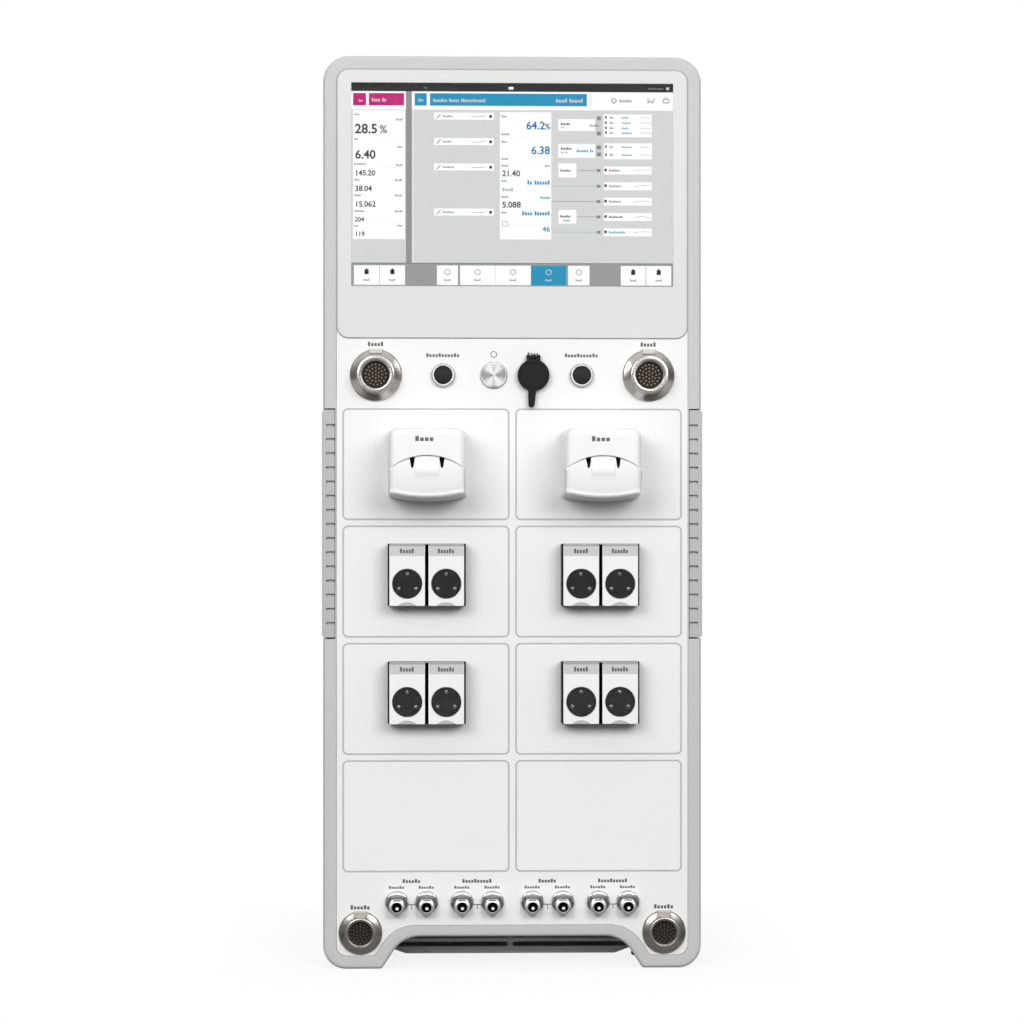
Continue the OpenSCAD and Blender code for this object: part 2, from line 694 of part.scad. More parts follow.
front_frame();
front_panel();
display_bezel();
touch_glass();
lcd_panel();
control_computer();
cabinet_cover();
rear_panel();
base_pan();
inner_chassis();
side_grip(-1);  // side_grip_left
side_grip(1);  // side_grip_right
rubber_feet();
rear_screws();
feed_bay_plates();
twin_bay_plates();
blank_bay_plates();
feed_base(-1);  // feed_base_left
feed_base(1);  // feed_base_right
for (i = [1:4]) twin_body(TWINS[i - 1]);
twin_faces();
roller_windows();
pump_motors();
socket_shells();
temperature_rings();
socket_inserts();
button_ring();
usb_socket();
coupling_bodies();
power_supply();
gas_module();
gas_inlets();
mains_inlet();
fan_frame();
power_button();
usb_cap();
feed_lid(-1);  // feed_lid_left
feed_lid(1);  // feed_lid_right
feed_rotor(-1);  // feed_rotor_left
feed_rotor(1);  // feed_rotor_right
for (i = [1:8]) twin_rotor(i);
for (i = [1:8]) coupling_latch(i);
fan_rotor();
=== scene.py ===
"""Looks of a twin bioreactor control tower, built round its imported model.

The tower stands on the bench at z = 0 and its front looks along -Y. Shapes are worked out in millimetres,
which become metres when a piece is made; the room is in metres. Most pieces are placed on the front panel's
face, with a height above the bench and a depth that counts forwards from the face.
"""

import json
import logging
import math
from collections.abc import Callable, Iterable, Sequence
from dataclasses import dataclass, field
from enum import Enum
from functools import partial
from itertools import product

import bmesh
import bpy
import numpy as np
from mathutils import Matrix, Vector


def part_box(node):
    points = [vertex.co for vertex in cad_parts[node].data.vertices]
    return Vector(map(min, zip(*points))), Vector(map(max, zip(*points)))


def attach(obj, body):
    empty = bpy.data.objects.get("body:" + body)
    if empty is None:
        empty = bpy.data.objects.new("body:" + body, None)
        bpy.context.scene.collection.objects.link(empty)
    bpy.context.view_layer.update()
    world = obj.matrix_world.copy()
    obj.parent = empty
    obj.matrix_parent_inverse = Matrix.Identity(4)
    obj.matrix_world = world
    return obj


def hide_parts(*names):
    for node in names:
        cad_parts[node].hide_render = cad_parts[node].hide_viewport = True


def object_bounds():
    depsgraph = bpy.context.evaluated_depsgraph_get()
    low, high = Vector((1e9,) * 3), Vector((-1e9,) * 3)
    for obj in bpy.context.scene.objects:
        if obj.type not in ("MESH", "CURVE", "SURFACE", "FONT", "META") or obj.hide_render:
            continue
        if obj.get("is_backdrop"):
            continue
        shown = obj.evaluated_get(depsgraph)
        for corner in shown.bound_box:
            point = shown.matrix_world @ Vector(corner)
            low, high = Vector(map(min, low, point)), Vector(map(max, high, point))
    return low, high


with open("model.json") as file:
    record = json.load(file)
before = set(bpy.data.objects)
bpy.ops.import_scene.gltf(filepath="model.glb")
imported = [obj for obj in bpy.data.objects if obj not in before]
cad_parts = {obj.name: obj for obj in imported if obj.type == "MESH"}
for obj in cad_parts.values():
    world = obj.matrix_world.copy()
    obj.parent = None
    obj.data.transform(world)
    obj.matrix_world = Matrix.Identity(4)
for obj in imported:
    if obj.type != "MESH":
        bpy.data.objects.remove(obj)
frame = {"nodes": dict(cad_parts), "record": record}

log = logging.getLogger("tower")

Pair = tuple[float, float]
Corner = tuple[float, float, float]
Colour = tuple[float, float, float]
Edge = Callable[[np.ndarray, np.ndarray], np.ndarray]
Tree = bpy.types.NodeTree
Node = bpy.types.Node
Plug = bpy.types.NodeSocket
Inputs = dict[str | int, object]

MM = 0.001
MERGED = 1e-6  # Points closer than this many metres are joined
CABINET = "cabinet"
UV_NAME, TINT_NAME = "around", "tint"
PATCH_SCALE, PATCH_DETAIL = 9.0, 3
GRAIN_DETAIL = 2
RELIEF_DEPTH = 0.2 * MM
ROUGHNESS_SPREAD, LEAST_ROUGHNESS = 0.15, 0.02
NUMERAL_HEIGHT, NUMERAL_BOLD, NUMERAL_STEPS = 0.7, 0.035, 3
BLOCK_PITCH, BLOCK_SPACE, SHORT_BLOCK = 0.62, 0.5, 0.72  # Shares of a tall block's height
BLOCK_WIDTH, FITTED_SPACE = 0.74, 0.8  # Shares of the pitch

# Places on the front that several pieces share
SIDES = ((-1, "left"), (1, "right"))
BAY_PITCH = 157.0
BAY_ROWS = (458.6, 352.0, 245.4, 138.8)
ROW_Z = 539.6
COUPLING_PLACES = (-105, -78, -45.8, -18.2, 18.2, 45.8, 78, 105)


# ---- Shapes as arrays ----


def arc(centre: Sequence[float], radius: float, start: float, end: float, steps: int) -> np.ndarray:
    """Points of an arc: the centre plus the radius times the cosine and sine of even angles, in degrees."""
    angle = np.radians(np.linspace(start, end, steps + 1))
    return np.asarray(centre) + radius * np.stack([np.cos(angle), np.sin(angle)], axis=1)


def rounded_outline(corners: Sequence[Corner], steps: int = 8) -> np.ndarray:
    """Closed outline whose corners are arcs that touch both of their sides.

    An arc of radius r in a corner with half angle h starts r / tan(h) from the corner, and its centre lies
    r / sin(h) from the corner on the line that halves it.

    Args:
        corners: X, Z and radius of each corner, in order; a radius of 0 leaves the corner sharp.
        steps: Steps of each arc.

    Returns:
        The outline's points, anticlockwise.
    """
    places = np.array([c[:2] for c in corners], float)
    points = []
    for i, (x, z, radius) in enumerate(corners):
        here = np.array([x, z])
        if radius <= 0:
            points.append(here[None])
            continue
        to_last = places[i - 1] - here
        to_next = places[(i + 1) % len(places)] - here
        to_last /= np.linalg.norm(to_last)
        to_next /= np.linalg.norm(to_next)
        half = math.acos(float(np.clip(to_last @ to_next, -1, 1))) / 2
        middle = (to_last + to_next) / np.linalg.norm(to_last + to_next)
        centre = here + middle * radius / math.sin(half)
        first = here + to_last * radius / math.tan(half) - centre
        way = -1 if to_last[0] * to_next[1] - to_last[1] * to_next[0] > 0 else 1
        turn = way * np.linspace(0, math.pi - 2 * half, steps + 1)
        points.append(centre + np.stack([first[0] * np.cos(turn) - first[1] * np.sin(turn),
                                         first[0] * np.sin(turn) + first[1] * np.cos(turn)], axis=1))
    return anticlockwise(np.concatenate(points))


def anticlockwise(outline: np.ndarray) -> np.ndarray:
    """Puts an outline in anticlockwise order, where half the sum of its edges' cross products is positive.

    Args:
        outline: The outline's points.

    Returns:
        The same points, reversed if need be.
    """
    after = np.roll(outline, -1, axis=0)
    area = np.sum(outline[:, 0] * after[:, 1] - outline[:, 1] * after[:, 0])
    return outline if area > 0 else outline[::-1]


def rectangle(width: float, height: float, radius: float, middle: Pair, steps: int) -> np.ndarray:
    """Outline of a rectangle with round corners about its middle."""
    (x, z), w, h = middle, width / 2, height / 2
    return rounded_outline([(x - w, z - h, radius), (x + w, z - h, radius), (x + w, z + h, radius),
                            (x - w, z + h, radius)], steps)


def circle(radius: float, segments: int, middle: Sequence[float] = (0, 0)) -> np.ndarray:
    """Outline of a circle about its middle."""
    return arc(middle, radius, 0, 360, segments)[:-1]


def inset(outline: np.ndarray, distance: float) -> np.ndarray:
    """Moves an anticlockwise outline inwards by the same distance all round.

    Each point moves along the sum of its two edges' inward normals, divided by one plus their product, which
    keeps both edges at the full distance.

    Args:
        outline: The outline's points.
        distance: How far it moves.

    Returns:
        The moved points.
    """
    after = np.roll(outline, -1, axis=0) - outline
    after /= np.maximum(np.linalg.norm(after, axis=1, keepdims=True), 1e-12)
    normal = np.stack([-after[:, 1], after[:, 0]], axis=1)
    before = np.roll(normal, 1, axis=0)
    share = 1 + np.sum(normal * before, axis=1, keepdims=True)
    return outline + distance * (normal + before) / np.maximum(share, 0.3)


def edge_levels(radius: float, back: float, front: float, steps: int = 5) -> list[Pair]:
    """Levels of a slab whose front edge is rounded: a quarter circle of inset against depth.

    Args:
        radius: The front edge's radius.
        back: Depth of the slab's back.
        front: Depth of its front face.
        steps: Steps of the quarter circle.

    Returns:
        Pairs of inset and depth, from the back to the front face.
    """
    angle = np.radians(np.linspace(0, 90, steps + 1))
    insets = radius * (1 - np.cos(angle))
    depths = front - radius * (1 - np.sin(angle))
    return [(0.0, back), *zip(insets.tolist(), depths.tolist())]


class Surface:
    """Patches of points and faces that together make one piece."""

    margin = 0.15  # A flat cap starts this far inside its edge
    least_radius = 1e-4  # The smallest circle of a turned body, where its profile meets the axis

    def __init__(self, face_y: float) -> None:
        """Starts an empty surface.

        Args:
            face_y: The plane in Y that its depths count forwards from.
        """
        self.face_y = face_y
        self.points: list[np.ndarray] = []
        self.faces: list[list[int]] = []
        self.uvs: list[np.ndarray] = []
        self.tints: list[np.ndarray] = []
        self.count = 0

    def add(self, points: np.ndarray, faces: Iterable[Sequence[int]], uvs: np.ndarray | None = None,
            tint: Sequence[float] | None = None) -> None:
        """Adds one patch.

        Args:
            points: Its points, (n, 3).
            faces: The indices of each face's points within the patch.
            uvs: One pair for each corner of each face, in order; zeros if left out.
            tint: The patch's colour, for finishes that read it.
        """
        faces = [[self.count + int(i) for i in face] for face in faces]
        corners = sum(len(face) for face in faces)
        self.points.append(points)
        self.faces.extend(faces)
        self.uvs.append(np.zeros((corners, 2)) if uvs is None else uvs.reshape(-1, 2))
        self.tints.append(np.tile([*(tint or (1, 1, 1)), 1.0], (corners, 1)))
        self.count += len(points)

    def grid(self, rings: np.ndarray, cap_first: bool = False, cap_last: bool = False,
             tint: Sequence[float] | None = None) -> None:
        """Adds a skin over closed rings of equally many points, with quads between each ring and the next.

        Args:
            rings: Array of (rings, points, 3).
            cap_first: Whether a flat face closes the first ring.
            cap_last: Whether a flat face closes the last ring.
            tint: The patch's colour.
        """
        m, n = rings.shape[:2]
        index = np.arange(m * n).reshape(m, n)
        along = np.roll(index, -1, axis=1)
        quads = np.stack([index[:-1], along[:-1], along[1:], index[1:]], axis=-1).reshape(-1, 4)
        steps = np.linalg.norm(np.diff(rings, axis=0), axis=2).mean(axis=1)
        v = np.concatenate([[0], np.cumsum(steps)]) * MM
        u = np.arange(n + 1) / n
        u0, u1, v0, v1 = u[None, :-1], u[None, 1:], v[:-1, None], v[1:, None]
        corner = np.stack([np.stack(np.broadcast_arrays(*pair), -1)
                           for pair in ((u0, v0), (u1, v0), (u1, v1), (u0, v1))], axis=2)
        faces = quads.tolist()
        uvs = [corner.reshape(-1, 2)]
        for wanted, row, height in ((cap_first, index[0][::-1], v[0]), (cap_last, index[-1], v[-1])):
            if wanted:
                faces.append(row.tolist())
                uvs.append(np.stack([np.linspace(0, 1, n), np.full(n, height)], axis=1))
        self.add(rings.reshape(-1, 3), faces, np.concatenate(uvs), tint)

    def loft(self, outline: np.ndarray, levels: Sequence[Pair], cap_back: bool = True,
             cap_front: bool = True) -> None:
        """Adds a slab: the outline moved inwards and forwards through the levels, closed by flat caps.

        A capped end gets one more ring just inside it, so that its flat face shades flat.

        Args:
            outline: Closed outline in X and Z.
            levels: Inset and depth of each ring, from back to front.
            cap_back: Whether the back is closed.
            cap_front: Whether the front is closed.
        """
        levels = list(levels)
        margin = self.margin
        if cap_front:
            levels.append((levels[-1][0] + margin, levels[-1][1]))
        if cap_back:
            levels.insert(0, (levels[0][0] + margin, levels[0][1]))
        rings = [self.at_depth(inset(outline, distance), depth) for distance, depth in levels]
        self.grid(np.array(rings), cap_back, cap_front)

    def band(self, outline: np.ndarray, section: Sequence[Pair]) -> None:
        """Adds a ring: a closed section of insets and depths, carried round the outline."""
        section = [*section, section[0]]
        self.grid(np.array([self.at_depth(inset(outline, distance), depth) for distance, depth in section]))

    def strip(self, path: Callable[[float], np.ndarray], section: Sequence[Pair]) -> None:
        """Adds a bar with flat ends: a closed section of insets and depths, carried along an open path."""
        lines = np.array([self.at_depth(path(distance), depth) for distance, depth in section])
        self.grid(lines.transpose(1, 0, 2), True, True)

    def turned(self, profile: Sequence[Pair], middle: Sequence[float], segments: int = 64,
               closed: bool = False) -> None:
        """Adds a body turned about an axis along Y: each radius and depth of the profile becomes a circle.

        Args:
            profile: Radius and depth of each ring.
            middle: The axis in X and Z.
            segments: Points in each circle.
            closed: Whether the profile's last point joins its first; if not, its ends get flat caps unless
                they lie on the axis.
        """
        profile = [*profile, profile[0]] if closed else list(profile)
        rings = [self.at_depth(circle(max(radius, self.least_radius), segments, middle), depth)
                 for radius, depth in profile]
        self.grid(np.array(rings), not closed and profile[0][0] > 0, not closed and profile[-1][0] > 0)

    def turned_outline(self, corners: Sequence[Corner], middle: Sequence[float], segments: int) -> None:
        """Adds a body turned from a closed section: radius, depth and rounding of each of its corners."""
        self.turned(rounded_outline(corners, 4).tolist(), middle, segments, closed=True)

    def slabs(self, rectangles: Sequence[Sequence[float]], low: float, high: float,
              tint: Sequence[float] | None = None) -> None:
        """Adds flat boxes from their rectangles: the low and high X and Z corners in each mix of sides.

        Args:
            rectangles: Lowest X, lowest Z, highest X and highest Z of each.
            low: Depth of their backs.
            high: Depth of their fronts.
            tint: Their colour.
        """
        r = np.atleast_2d(np.array(rectangles, float))
        x = r[:, [0, 2, 2, 0, 0, 2, 2, 0]]
        z = r[:, [1, 1, 3, 3, 1, 1, 3, 3]]
        y = np.tile(self.face_y - np.array([high] * 4 + [low] * 4), (len(r), 1))
        points = np.stack([x, y, z], axis=-1).reshape(-1, 3)
        sides = np.array([[0, 1, 2, 3], [5, 4, 7, 6], [4, 5, 1, 0], [3, 2, 6, 7], [4, 0, 3, 7], [1, 5, 6, 2]])
        faces = (np.arange(len(r))[:, None, None] * 8 + sides).reshape(-1, 4)
        self.add(points, faces.tolist(), None, tint)

    def at_depth(self, outline: np.ndarray, depth: float) -> np.ndarray:
        """The outline's points in space, at that depth in front of the face."""
        return np.stack([outline[:, 0], np.full(len(outline), self.face_y - depth), outline[:, 1]], axis=1)

    def piece(self, name: str, finish: "Finish", body: str = CABINET, slot: str | None = None,
              replaces: Sequence[str] = (), crease: float = 35) -> bpy.types.Object:
        """Makes the piece in metres: joins doubles, turns faces outwards, and gives it its finish and body.

        Args:
            name: The piece's name.
            finish: What its surface is.
            body: The moving or fixed body it belongs to.
            slot: The record's material slot that it stands for; not used.
            replaces: CAD nodes that it stands for.
            crease: Angle in degrees past which an edge stays sharp.

        Returns:
            The new object.
        """
        mesh = bpy.data.meshes.new(name)
        mesh.from_pydata((np.concatenate(self.points) * MM).tolist(), [], self.faces)
        around = mesh.uv_layers.new(name=UV_NAME).uv
        around.foreach_set("vector", np.concatenate(self.uvs).astype(np.float32).ravel())
        tint = mesh.color_attributes.new(TINT_NAME, "FLOAT_COLOR", "CORNER")
        tint.data.foreach_set("color", np.concatenate(self.tints).astype(np.float32).ravel())
        shell = bmesh.new()
        shell.from_mesh(mesh)
        bmesh.ops.remove_doubles(shell, verts=shell.verts, dist=MERGED)
        bmesh.ops.dissolve_degenerate(shell, edges=shell.edges, dist=MERGED / 10)
        bmesh.ops.recalc_face_normals(shell, faces=shell.faces)
        shell.to_mesh(mesh)
        shell.free()
        smooth(mesh, crease)
        piece = bpy.data.objects.new(name, mesh)
        bpy.context.scene.collection.objects.link(piece)
        mesh.materials.append(finish.material())
        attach(piece, body)
        if replaces:
            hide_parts(*replaces)
        log.info("made %s with %d faces", name, len(mesh.polygons))
        return piece


def smoothstep(share: np.ndarray) -> np.ndarray:
    """Three times the square less twice the cube of the share, held between 0 and 1."""
    share = np.clip(share, 0, 1)
    return share * share * (3 - 2 * share)


def smooth(mesh: bpy.types.Mesh, crease: float) -> None:
    """Shades a mesh smooth, with edges sharper than crease degrees kept sharp."""
    mesh.polygons.foreach_set("use_smooth", np.ones(len(mesh.polygons), bool))
    mesh.set_sharp_from_angle(angle=math.radians(crease))


# ---- Finishes ----


def feed(tree: Tree, node: Node, inputs: Inputs) -> None:
    """Sets a node's inputs: an output is linked to its input, and anything else becomes the input's value.

    Args:
        tree: The node tree.
        node: The node.
        inputs: What each input gets, by its name or number.
    """
    for key, value in inputs.items():
        if isinstance(value, Plug):
            tree.links.new(value, node.inputs[key])
        else:
            node.inputs[key].default_value = value


def add_node(tree: Tree, kind: str, inputs: Inputs | None = None, **settings: object) -> Node:
    """Adds a shader node.

    Args:
        tree: The node tree.
        kind: The node's type, without the word that all of them start with.
        inputs: What each input gets.
        settings: The node's own settings, which are set before its inputs.

    Returns:
        The new node.
    """
    node = tree.nodes.new(f"ShaderNode{kind}")
    for name, value in settings.items():
        setattr(node, name, value)
    feed(tree, node, inputs or {})
    return node


def ramp(tree: Tree, value: Plug, span: Pair, ends: Pair, shape: str = "SMOOTHSTEP") -> Plug:
    """Adds a ramp from one end to the other while its value crosses a span, and returns its output."""
    inputs = dict(zip(("From Min", "From Max", "To Min", "To Max"), (*span, *ends)))
    return add_node(tree, "MapRange", {"Value": value, **inputs}, interpolation_type=shape).outputs["Result"]


class Grain(Enum):
    """How a surface's finest relief runs: the stretch of its noise, and the noise's scale."""

    POWDER = ((1, 1, 1), 900)
    MOULDED = ((1, 1, 1), 2600)
    BRUSHED = ((0.02, 1, 1), 2500)
    TURNED = ((0.004, 1, 1), 2500)
    POLISHED = ((1, 1, 1), 300)


@dataclass(frozen=True)
class Finish:
    """One surface finish: a colour that wanders a little, a roughness that varies, and a fine relief."""

    name: str
    colour: Colour
    roughness: float = 0.45
    metallic: float = 0.0
    grain: Grain = Grain.MOULDED
    wander: float = 0.02
    relief: float = 0.02
    specular: float = 0.5
    anisotropy: float = 0.0

    def material(self) -> bpy.types.Material:
        """The finish's material, made the first time it is asked for."""
        return bpy.data.materials.get(self.title) or self.make()

    @property
    def title(self) -> str:
        """The material's name, which no imported material has."""
        return f"{self.name} finish"

    def make(self) -> bpy.types.Material:
        """Builds the material's nodes.

        Returns:
            The new material.
        """
        material = bpy.data.materials.new(self.title)
        material.use_nodes = True
        tree = material.node_tree
        shader = tree.nodes["Principled BSDF"]
        feed(tree, shader, {"Metallic": self.metallic, "Specular IOR Level": self.specular,
                            "Anisotropic": self.anisotropy})
        coordinates = add_node(tree, "TexCoord")
        self.shade(tree, coordinates, shader)
        self.raise_grain(tree, coordinates, shader)
        return material

    def shade(self, tree: Tree, coordinates: Node, shader: Node) -> None:
        """Mixes a darker and a lighter shade of the colour by a wide noise.

        Args:
            tree: The material's node tree.
            coordinates: Its Texture Coordinate node.
            shader: Its shader.
        """
        patches = add_node(tree, "TexNoise", {"Scale": PATCH_SCALE, "Detail": PATCH_DETAIL,
                                              "Vector": coordinates.outputs["Object"]})
        darker, lighter = ((*(min(1, c * share) for c in self.colour), 1)
                           for share in (1 - self.wander, 1 + self.wander))
        mix = add_node(tree, "Mix", {"Factor": patches.outputs["Fac"], "A": darker, "B": lighter},
                       data_type="RGBA")
        feed(tree, shader, {"Base Color": mix.outputs["Result"]})

    def raise_grain(self, tree: Tree, coordinates: Node, shader: Node) -> None:
        """Varies the roughness and raises the relief by a fine noise that is stretched along the grain.

        Args:
            tree: The material's node tree.
            coordinates: Its Texture Coordinate node.
            shader: Its shader.
        """
        stretch, scale = self.grain.value
        source = "UV" if self.grain is Grain.TURNED else "Object"
        mapping = add_node(tree, "Mapping", {"Scale": stretch, "Vector": coordinates.outputs[source]})
        noise = add_node(tree, "TexNoise", {"Scale": scale, "Detail": GRAIN_DETAIL,
                                            "Vector": mapping.outputs["Vector"]})
        least = max(LEAST_ROUGHNESS, self.roughness * (1 - ROUGHNESS_SPREAD))
        most = min(1.0, self.roughness * (1 + ROUGHNESS_SPREAD))
        bump = add_node(tree, "Bump", {"Strength": self.relief, "Distance": RELIEF_DEPTH,
                                       "Height": noise.outputs["Fac"]})
        feed(tree, shader, {"Roughness": ramp(tree, noise.outputs["Fac"], (0, 1), (least, most), "LINEAR"),
                            "Normal": bump.outputs["Normal"]})
        if self.anisotropy:
            tangent = add_node(tree, "Tangent", direction_type="UV_MAP", uv_map=UV_NAME)
            feed(tree, shader, {"Tangent": tangent.outputs["Tangent"]})


@dataclass(frozen=True)
class ClearFinish(Finish):
    """Clear or smoked glass and plastic, which lets light through."""

    index: float = 1.45

    def make(self) -> bpy.types.Material:
        """Builds the nodes of the plain finish and lets light through.

        Returns:
            The new material.
        """
        material = super().make()
        tree = material.node_tree
        feed(tree, tree.nodes["Principled BSDF"], {"Transmission Weight": 1.0, "IOR": self.index})
        return material


@dataclass(frozen=True)
class LitPicture(Finish):
    """A lit display: each patch of the piece glows in its own tint."""

    glow: float = 1.0

    def make(self) -> bpy.types.Material:
        """Builds a dark plastic whose emission is the tint.

        Returns:
            The new material.
        """
        material = super().make()
        tree = material.node_tree
        tint = add_node(tree, "VertexColor", layer_name=TINT_NAME)
        feed(tree, tree.nodes["Principled BSDF"], {"Emission Color": tint.outputs["Color"],
                                                   "Emission Strength": self.glow})
        return material


PAINT = {"grain": Grain.POWDER, "specular": 0.25}
WHITE_PAINT = Finish("white_paint", (0.84, 0.84, 0.835), 0.42, wander=0.008, relief=0.03, **PAINT)
PLATE_PAINT = Finish("plate_paint", (0.845, 0.845, 0.84), 0.42, wander=0.008, relief=0.03, **PAINT)
RIM_PAINT = Finish("rim_paint", (0.555, 0.55, 0.55), 0.5, grain=Grain.POWDER, wander=0.015, relief=0.04,
                   specular=0.3)
PAN_PAINT = Finish("pan_paint", (0.86, 0.86, 0.865), 0.45, grain=Grain.POWDER, wander=0.03, relief=0.05)
BEZEL_PLASTIC = Finish("bezel_plastic", (0.69, 0.69, 0.685), 0.36, wander=0.01, specular=0.25)
PUMP_PLASTIC = Finish("pump_plastic", (0.87, 0.87, 0.865), 0.30, wander=0.006, relief=0.015, specular=0.25)
GRIP_PLASTIC = Finish("grip_plastic", (0.46, 0.46, 0.465), 0.55, wander=0.03, relief=0.06)
INSERT_PLASTIC = Finish("insert_plastic", (0.018, 0.016, 0.015), 0.5, wander=0.1, relief=0.06, specular=0.15)
BLACK_PLASTIC = Finish("black_plastic", (0.02, 0.02, 0.021), 0.42, wander=0.1, relief=0.06, specular=0.15)
ROTOR_PLASTIC = Finish("rotor_plastic", (0.014, 0.014, 0.014), 0.45, wander=0.1, relief=0.04, specular=0.1)
CAP_RUBBER = Finish("cap_rubber", (0.010, 0.010, 0.011), 0.45, wander=0.1, relief=0.08, specular=0.12)
FOOT_RUBBER = Finish("foot_rubber", (0.02, 0.02, 0.02), 0.7, wander=0.15, relief=0.2)
# Painted shade: the grey of the shadow in the gaps round the bay plates
SEAM_SHADE = Finish("seam_painted_shade", (0.47, 0.47, 0.47), 0.6)
BAND_GREY = Finish("band_grey", (0.58, 0.58, 0.585), 0.4, wander=0.01, relief=0.01)
# Painted shade: the dark of the twin heads' shaded top edges and of the bezel's gap
EDGE_SHADE = Finish("edge_shade", (0.34, 0.34, 0.345), 0.4, wander=0.01, relief=0.01)
# Painted shade: the grey of the shaded recess of the twin heads' scoops
SCOOP_SHADE = Finish("scoop_painted_shade", (0.46, 0.46, 0.465), 0.5)
# Painted shade: near black, for the shadow in the gap between twin heads and inside the coupling bores
SHADE_BLACK = Finish("shade_black", (0.002, 0.002, 0.002), 0.9, wander=0.1, specular=0.0)
PRINT = Finish("print", (0.10, 0.10, 0.105), 0.5, wander=0.1, relief=0.03)

TURNED_METAL = {"metallic": 1.0, "grain": Grain.TURNED}
NICKEL = Finish("nickel", (0.54, 0.51, 0.48), 0.18, wander=0.03, anisotropy=0.3, **TURNED_METAL)
BROWN_NICKEL = Finish("brown_nickel", (0.47, 0.435, 0.405), 0.26, wander=0.03, anisotropy=0.3, **TURNED_METAL)
RING_STEEL = Finish("ring_steel", (0.50, 0.50, 0.495), 0.38, **TURNED_METAL)
SPUN_STEEL = Finish("spun_steel", (0.44, 0.44, 0.44), 0.30, relief=0.03, anisotropy=0.85, **TURNED_METAL)
CHROME = Finish("coupling_chrome", (0.72, 0.72, 0.73), 0.12, 1.0, Grain.POLISHED)
SATIN_CHROME = Finish("satin_chrome", (0.80, 0.80, 0.81), 0.35, 1.0, Grain.POLISHED)
GOLD = Finish("contact_gold", (0.28, 0.215, 0.14), 0.35, 1.0, Grain.POLISHED, wander=0.05)
PIN_STEEL = Finish("pin_steel", (0.62, 0.62, 0.63), 0.25, 1.0, Grain.POLISHED, wander=0.03)
KEY_NICKEL = Finish("key_nickel", (0.52, 0.49, 0.46), 0.45, 0.35, Grain.BRUSHED, wander=0.03)
ZINC = Finish("zinc_steel", (0.55, 0.56, 0.58), 0.35, 1.0, Grain.BRUSHED, wander=0.05, relief=0.05)
MOTOR_STEEL = Finish("motor_steel", (0.42, 0.42, 0.43), 0.4, 1.0, Grain.BRUSHED, wander=0.05, relief=0.05)
ALUMINIUM = Finish("electronics", (0.60, 0.61, 0.62), 0.4, 1.0, Grain.BRUSHED, wander=0.04, relief=0.04)

SCREEN_GLASS = ClearFinish("screen_glass", (1, 1, 1), 0.02, grain=Grain.POLISHED, wander=0, relief=0.002,
                           specular=0.08, index=1.2)
SMOKED_WINDOW = ClearFinish("smoked_window", (0.42, 0.42, 0.43), 0.06, grain=Grain.POLISHED, relief=0.01,
                            specular=0.12)
PICTURE = LitPicture("screen_panel", (0.01, 0.01, 0.01), 0.6, relief=0.0, specular=0.1)

# The finish of each material slot, for the nodes that stay as they are
SLOT_FINISHES: dict[str, Finish] = {
    **{finish.name: finish for finish in (
        WHITE_PAINT, RIM_PAINT, PAN_PAINT, BEZEL_PLASTIC, GRIP_PLASTIC, SCREEN_GLASS, ALUMINIUM, ZINC,
        MOTOR_STEEL, CHROME, INSERT_PLASTIC, BLACK_PLASTIC, ROTOR_PLASTIC, SMOKED_WINDOW, PUMP_PLASTIC,
        CAP_RUBBER, FOOT_RUBBER)},
    "screen_panel": BLACK_PLASTIC,
    "nickel": ZINC,
    "ring_steel": ZINC,
}


# ---- The room ----


class Rays(Enum):
    """Kinds of rays, each by the outputs of the Light Path node that are 1 for it."""

    DIFFUSE = ("Is Diffuse Ray",)
    GLOSSY = ("Is Glossy Ray",)
    SEEN = ("Is Camera Ray", "Is Transmission Ray")

    def share(self, tree: Tree, path: Node) -> Plug:
        """Finds what is 1 for this kind and 0 for the others: the larger of its outputs.

        Args:
            tree: The node tree.
            path: Its Light Path node.

        Returns:
            The output to use.
        """
        shares = [path.outputs[name] for name in self.value]
        if len(shares) == 1:
            return shares[0]
        return add_node(tree, "Math", dict(enumerate(shares)), operation="MAXIMUM").outputs["Value"]


@dataclass(frozen=True)
class Fade:
    """How the floor turns into an even glow for one kind of rays, by the distance from the foot in metres."""

    rays: Rays
    span: Pair
    least: float
    strength: float


@dataclass(frozen=True)
class Lamp:
    """A rectangular soft lamp that looks at a target, in metres and watts."""

    name: str
    place: Corner
    target: Corner
    width: float
    height: float
    power: float
    mirrored: bool = True

    def hang(self) -> None:
        """Adds the lamp to the scene, turned about X and Z so that it faces its target."""
        data = bpy.data.lights.new(self.name, "AREA")
        data.shape = "RECTANGLE"
        data.size, data.size_y = self.width, self.height
        data.energy = self.power
        lamp = bpy.data.objects.new(self.name, data)
        bpy.context.scene.collection.objects.link(lamp)
        lamp.visible_glossy = self.mirrored
        lamp.location = self.place
        way = np.subtract(self.target, self.place)
        fall = math.acos(-way[2] / np.linalg.norm(way))
        lamp.rotation_euler = (fall, 0, math.atan2(way[1], way[0]) - math.pi / 2)


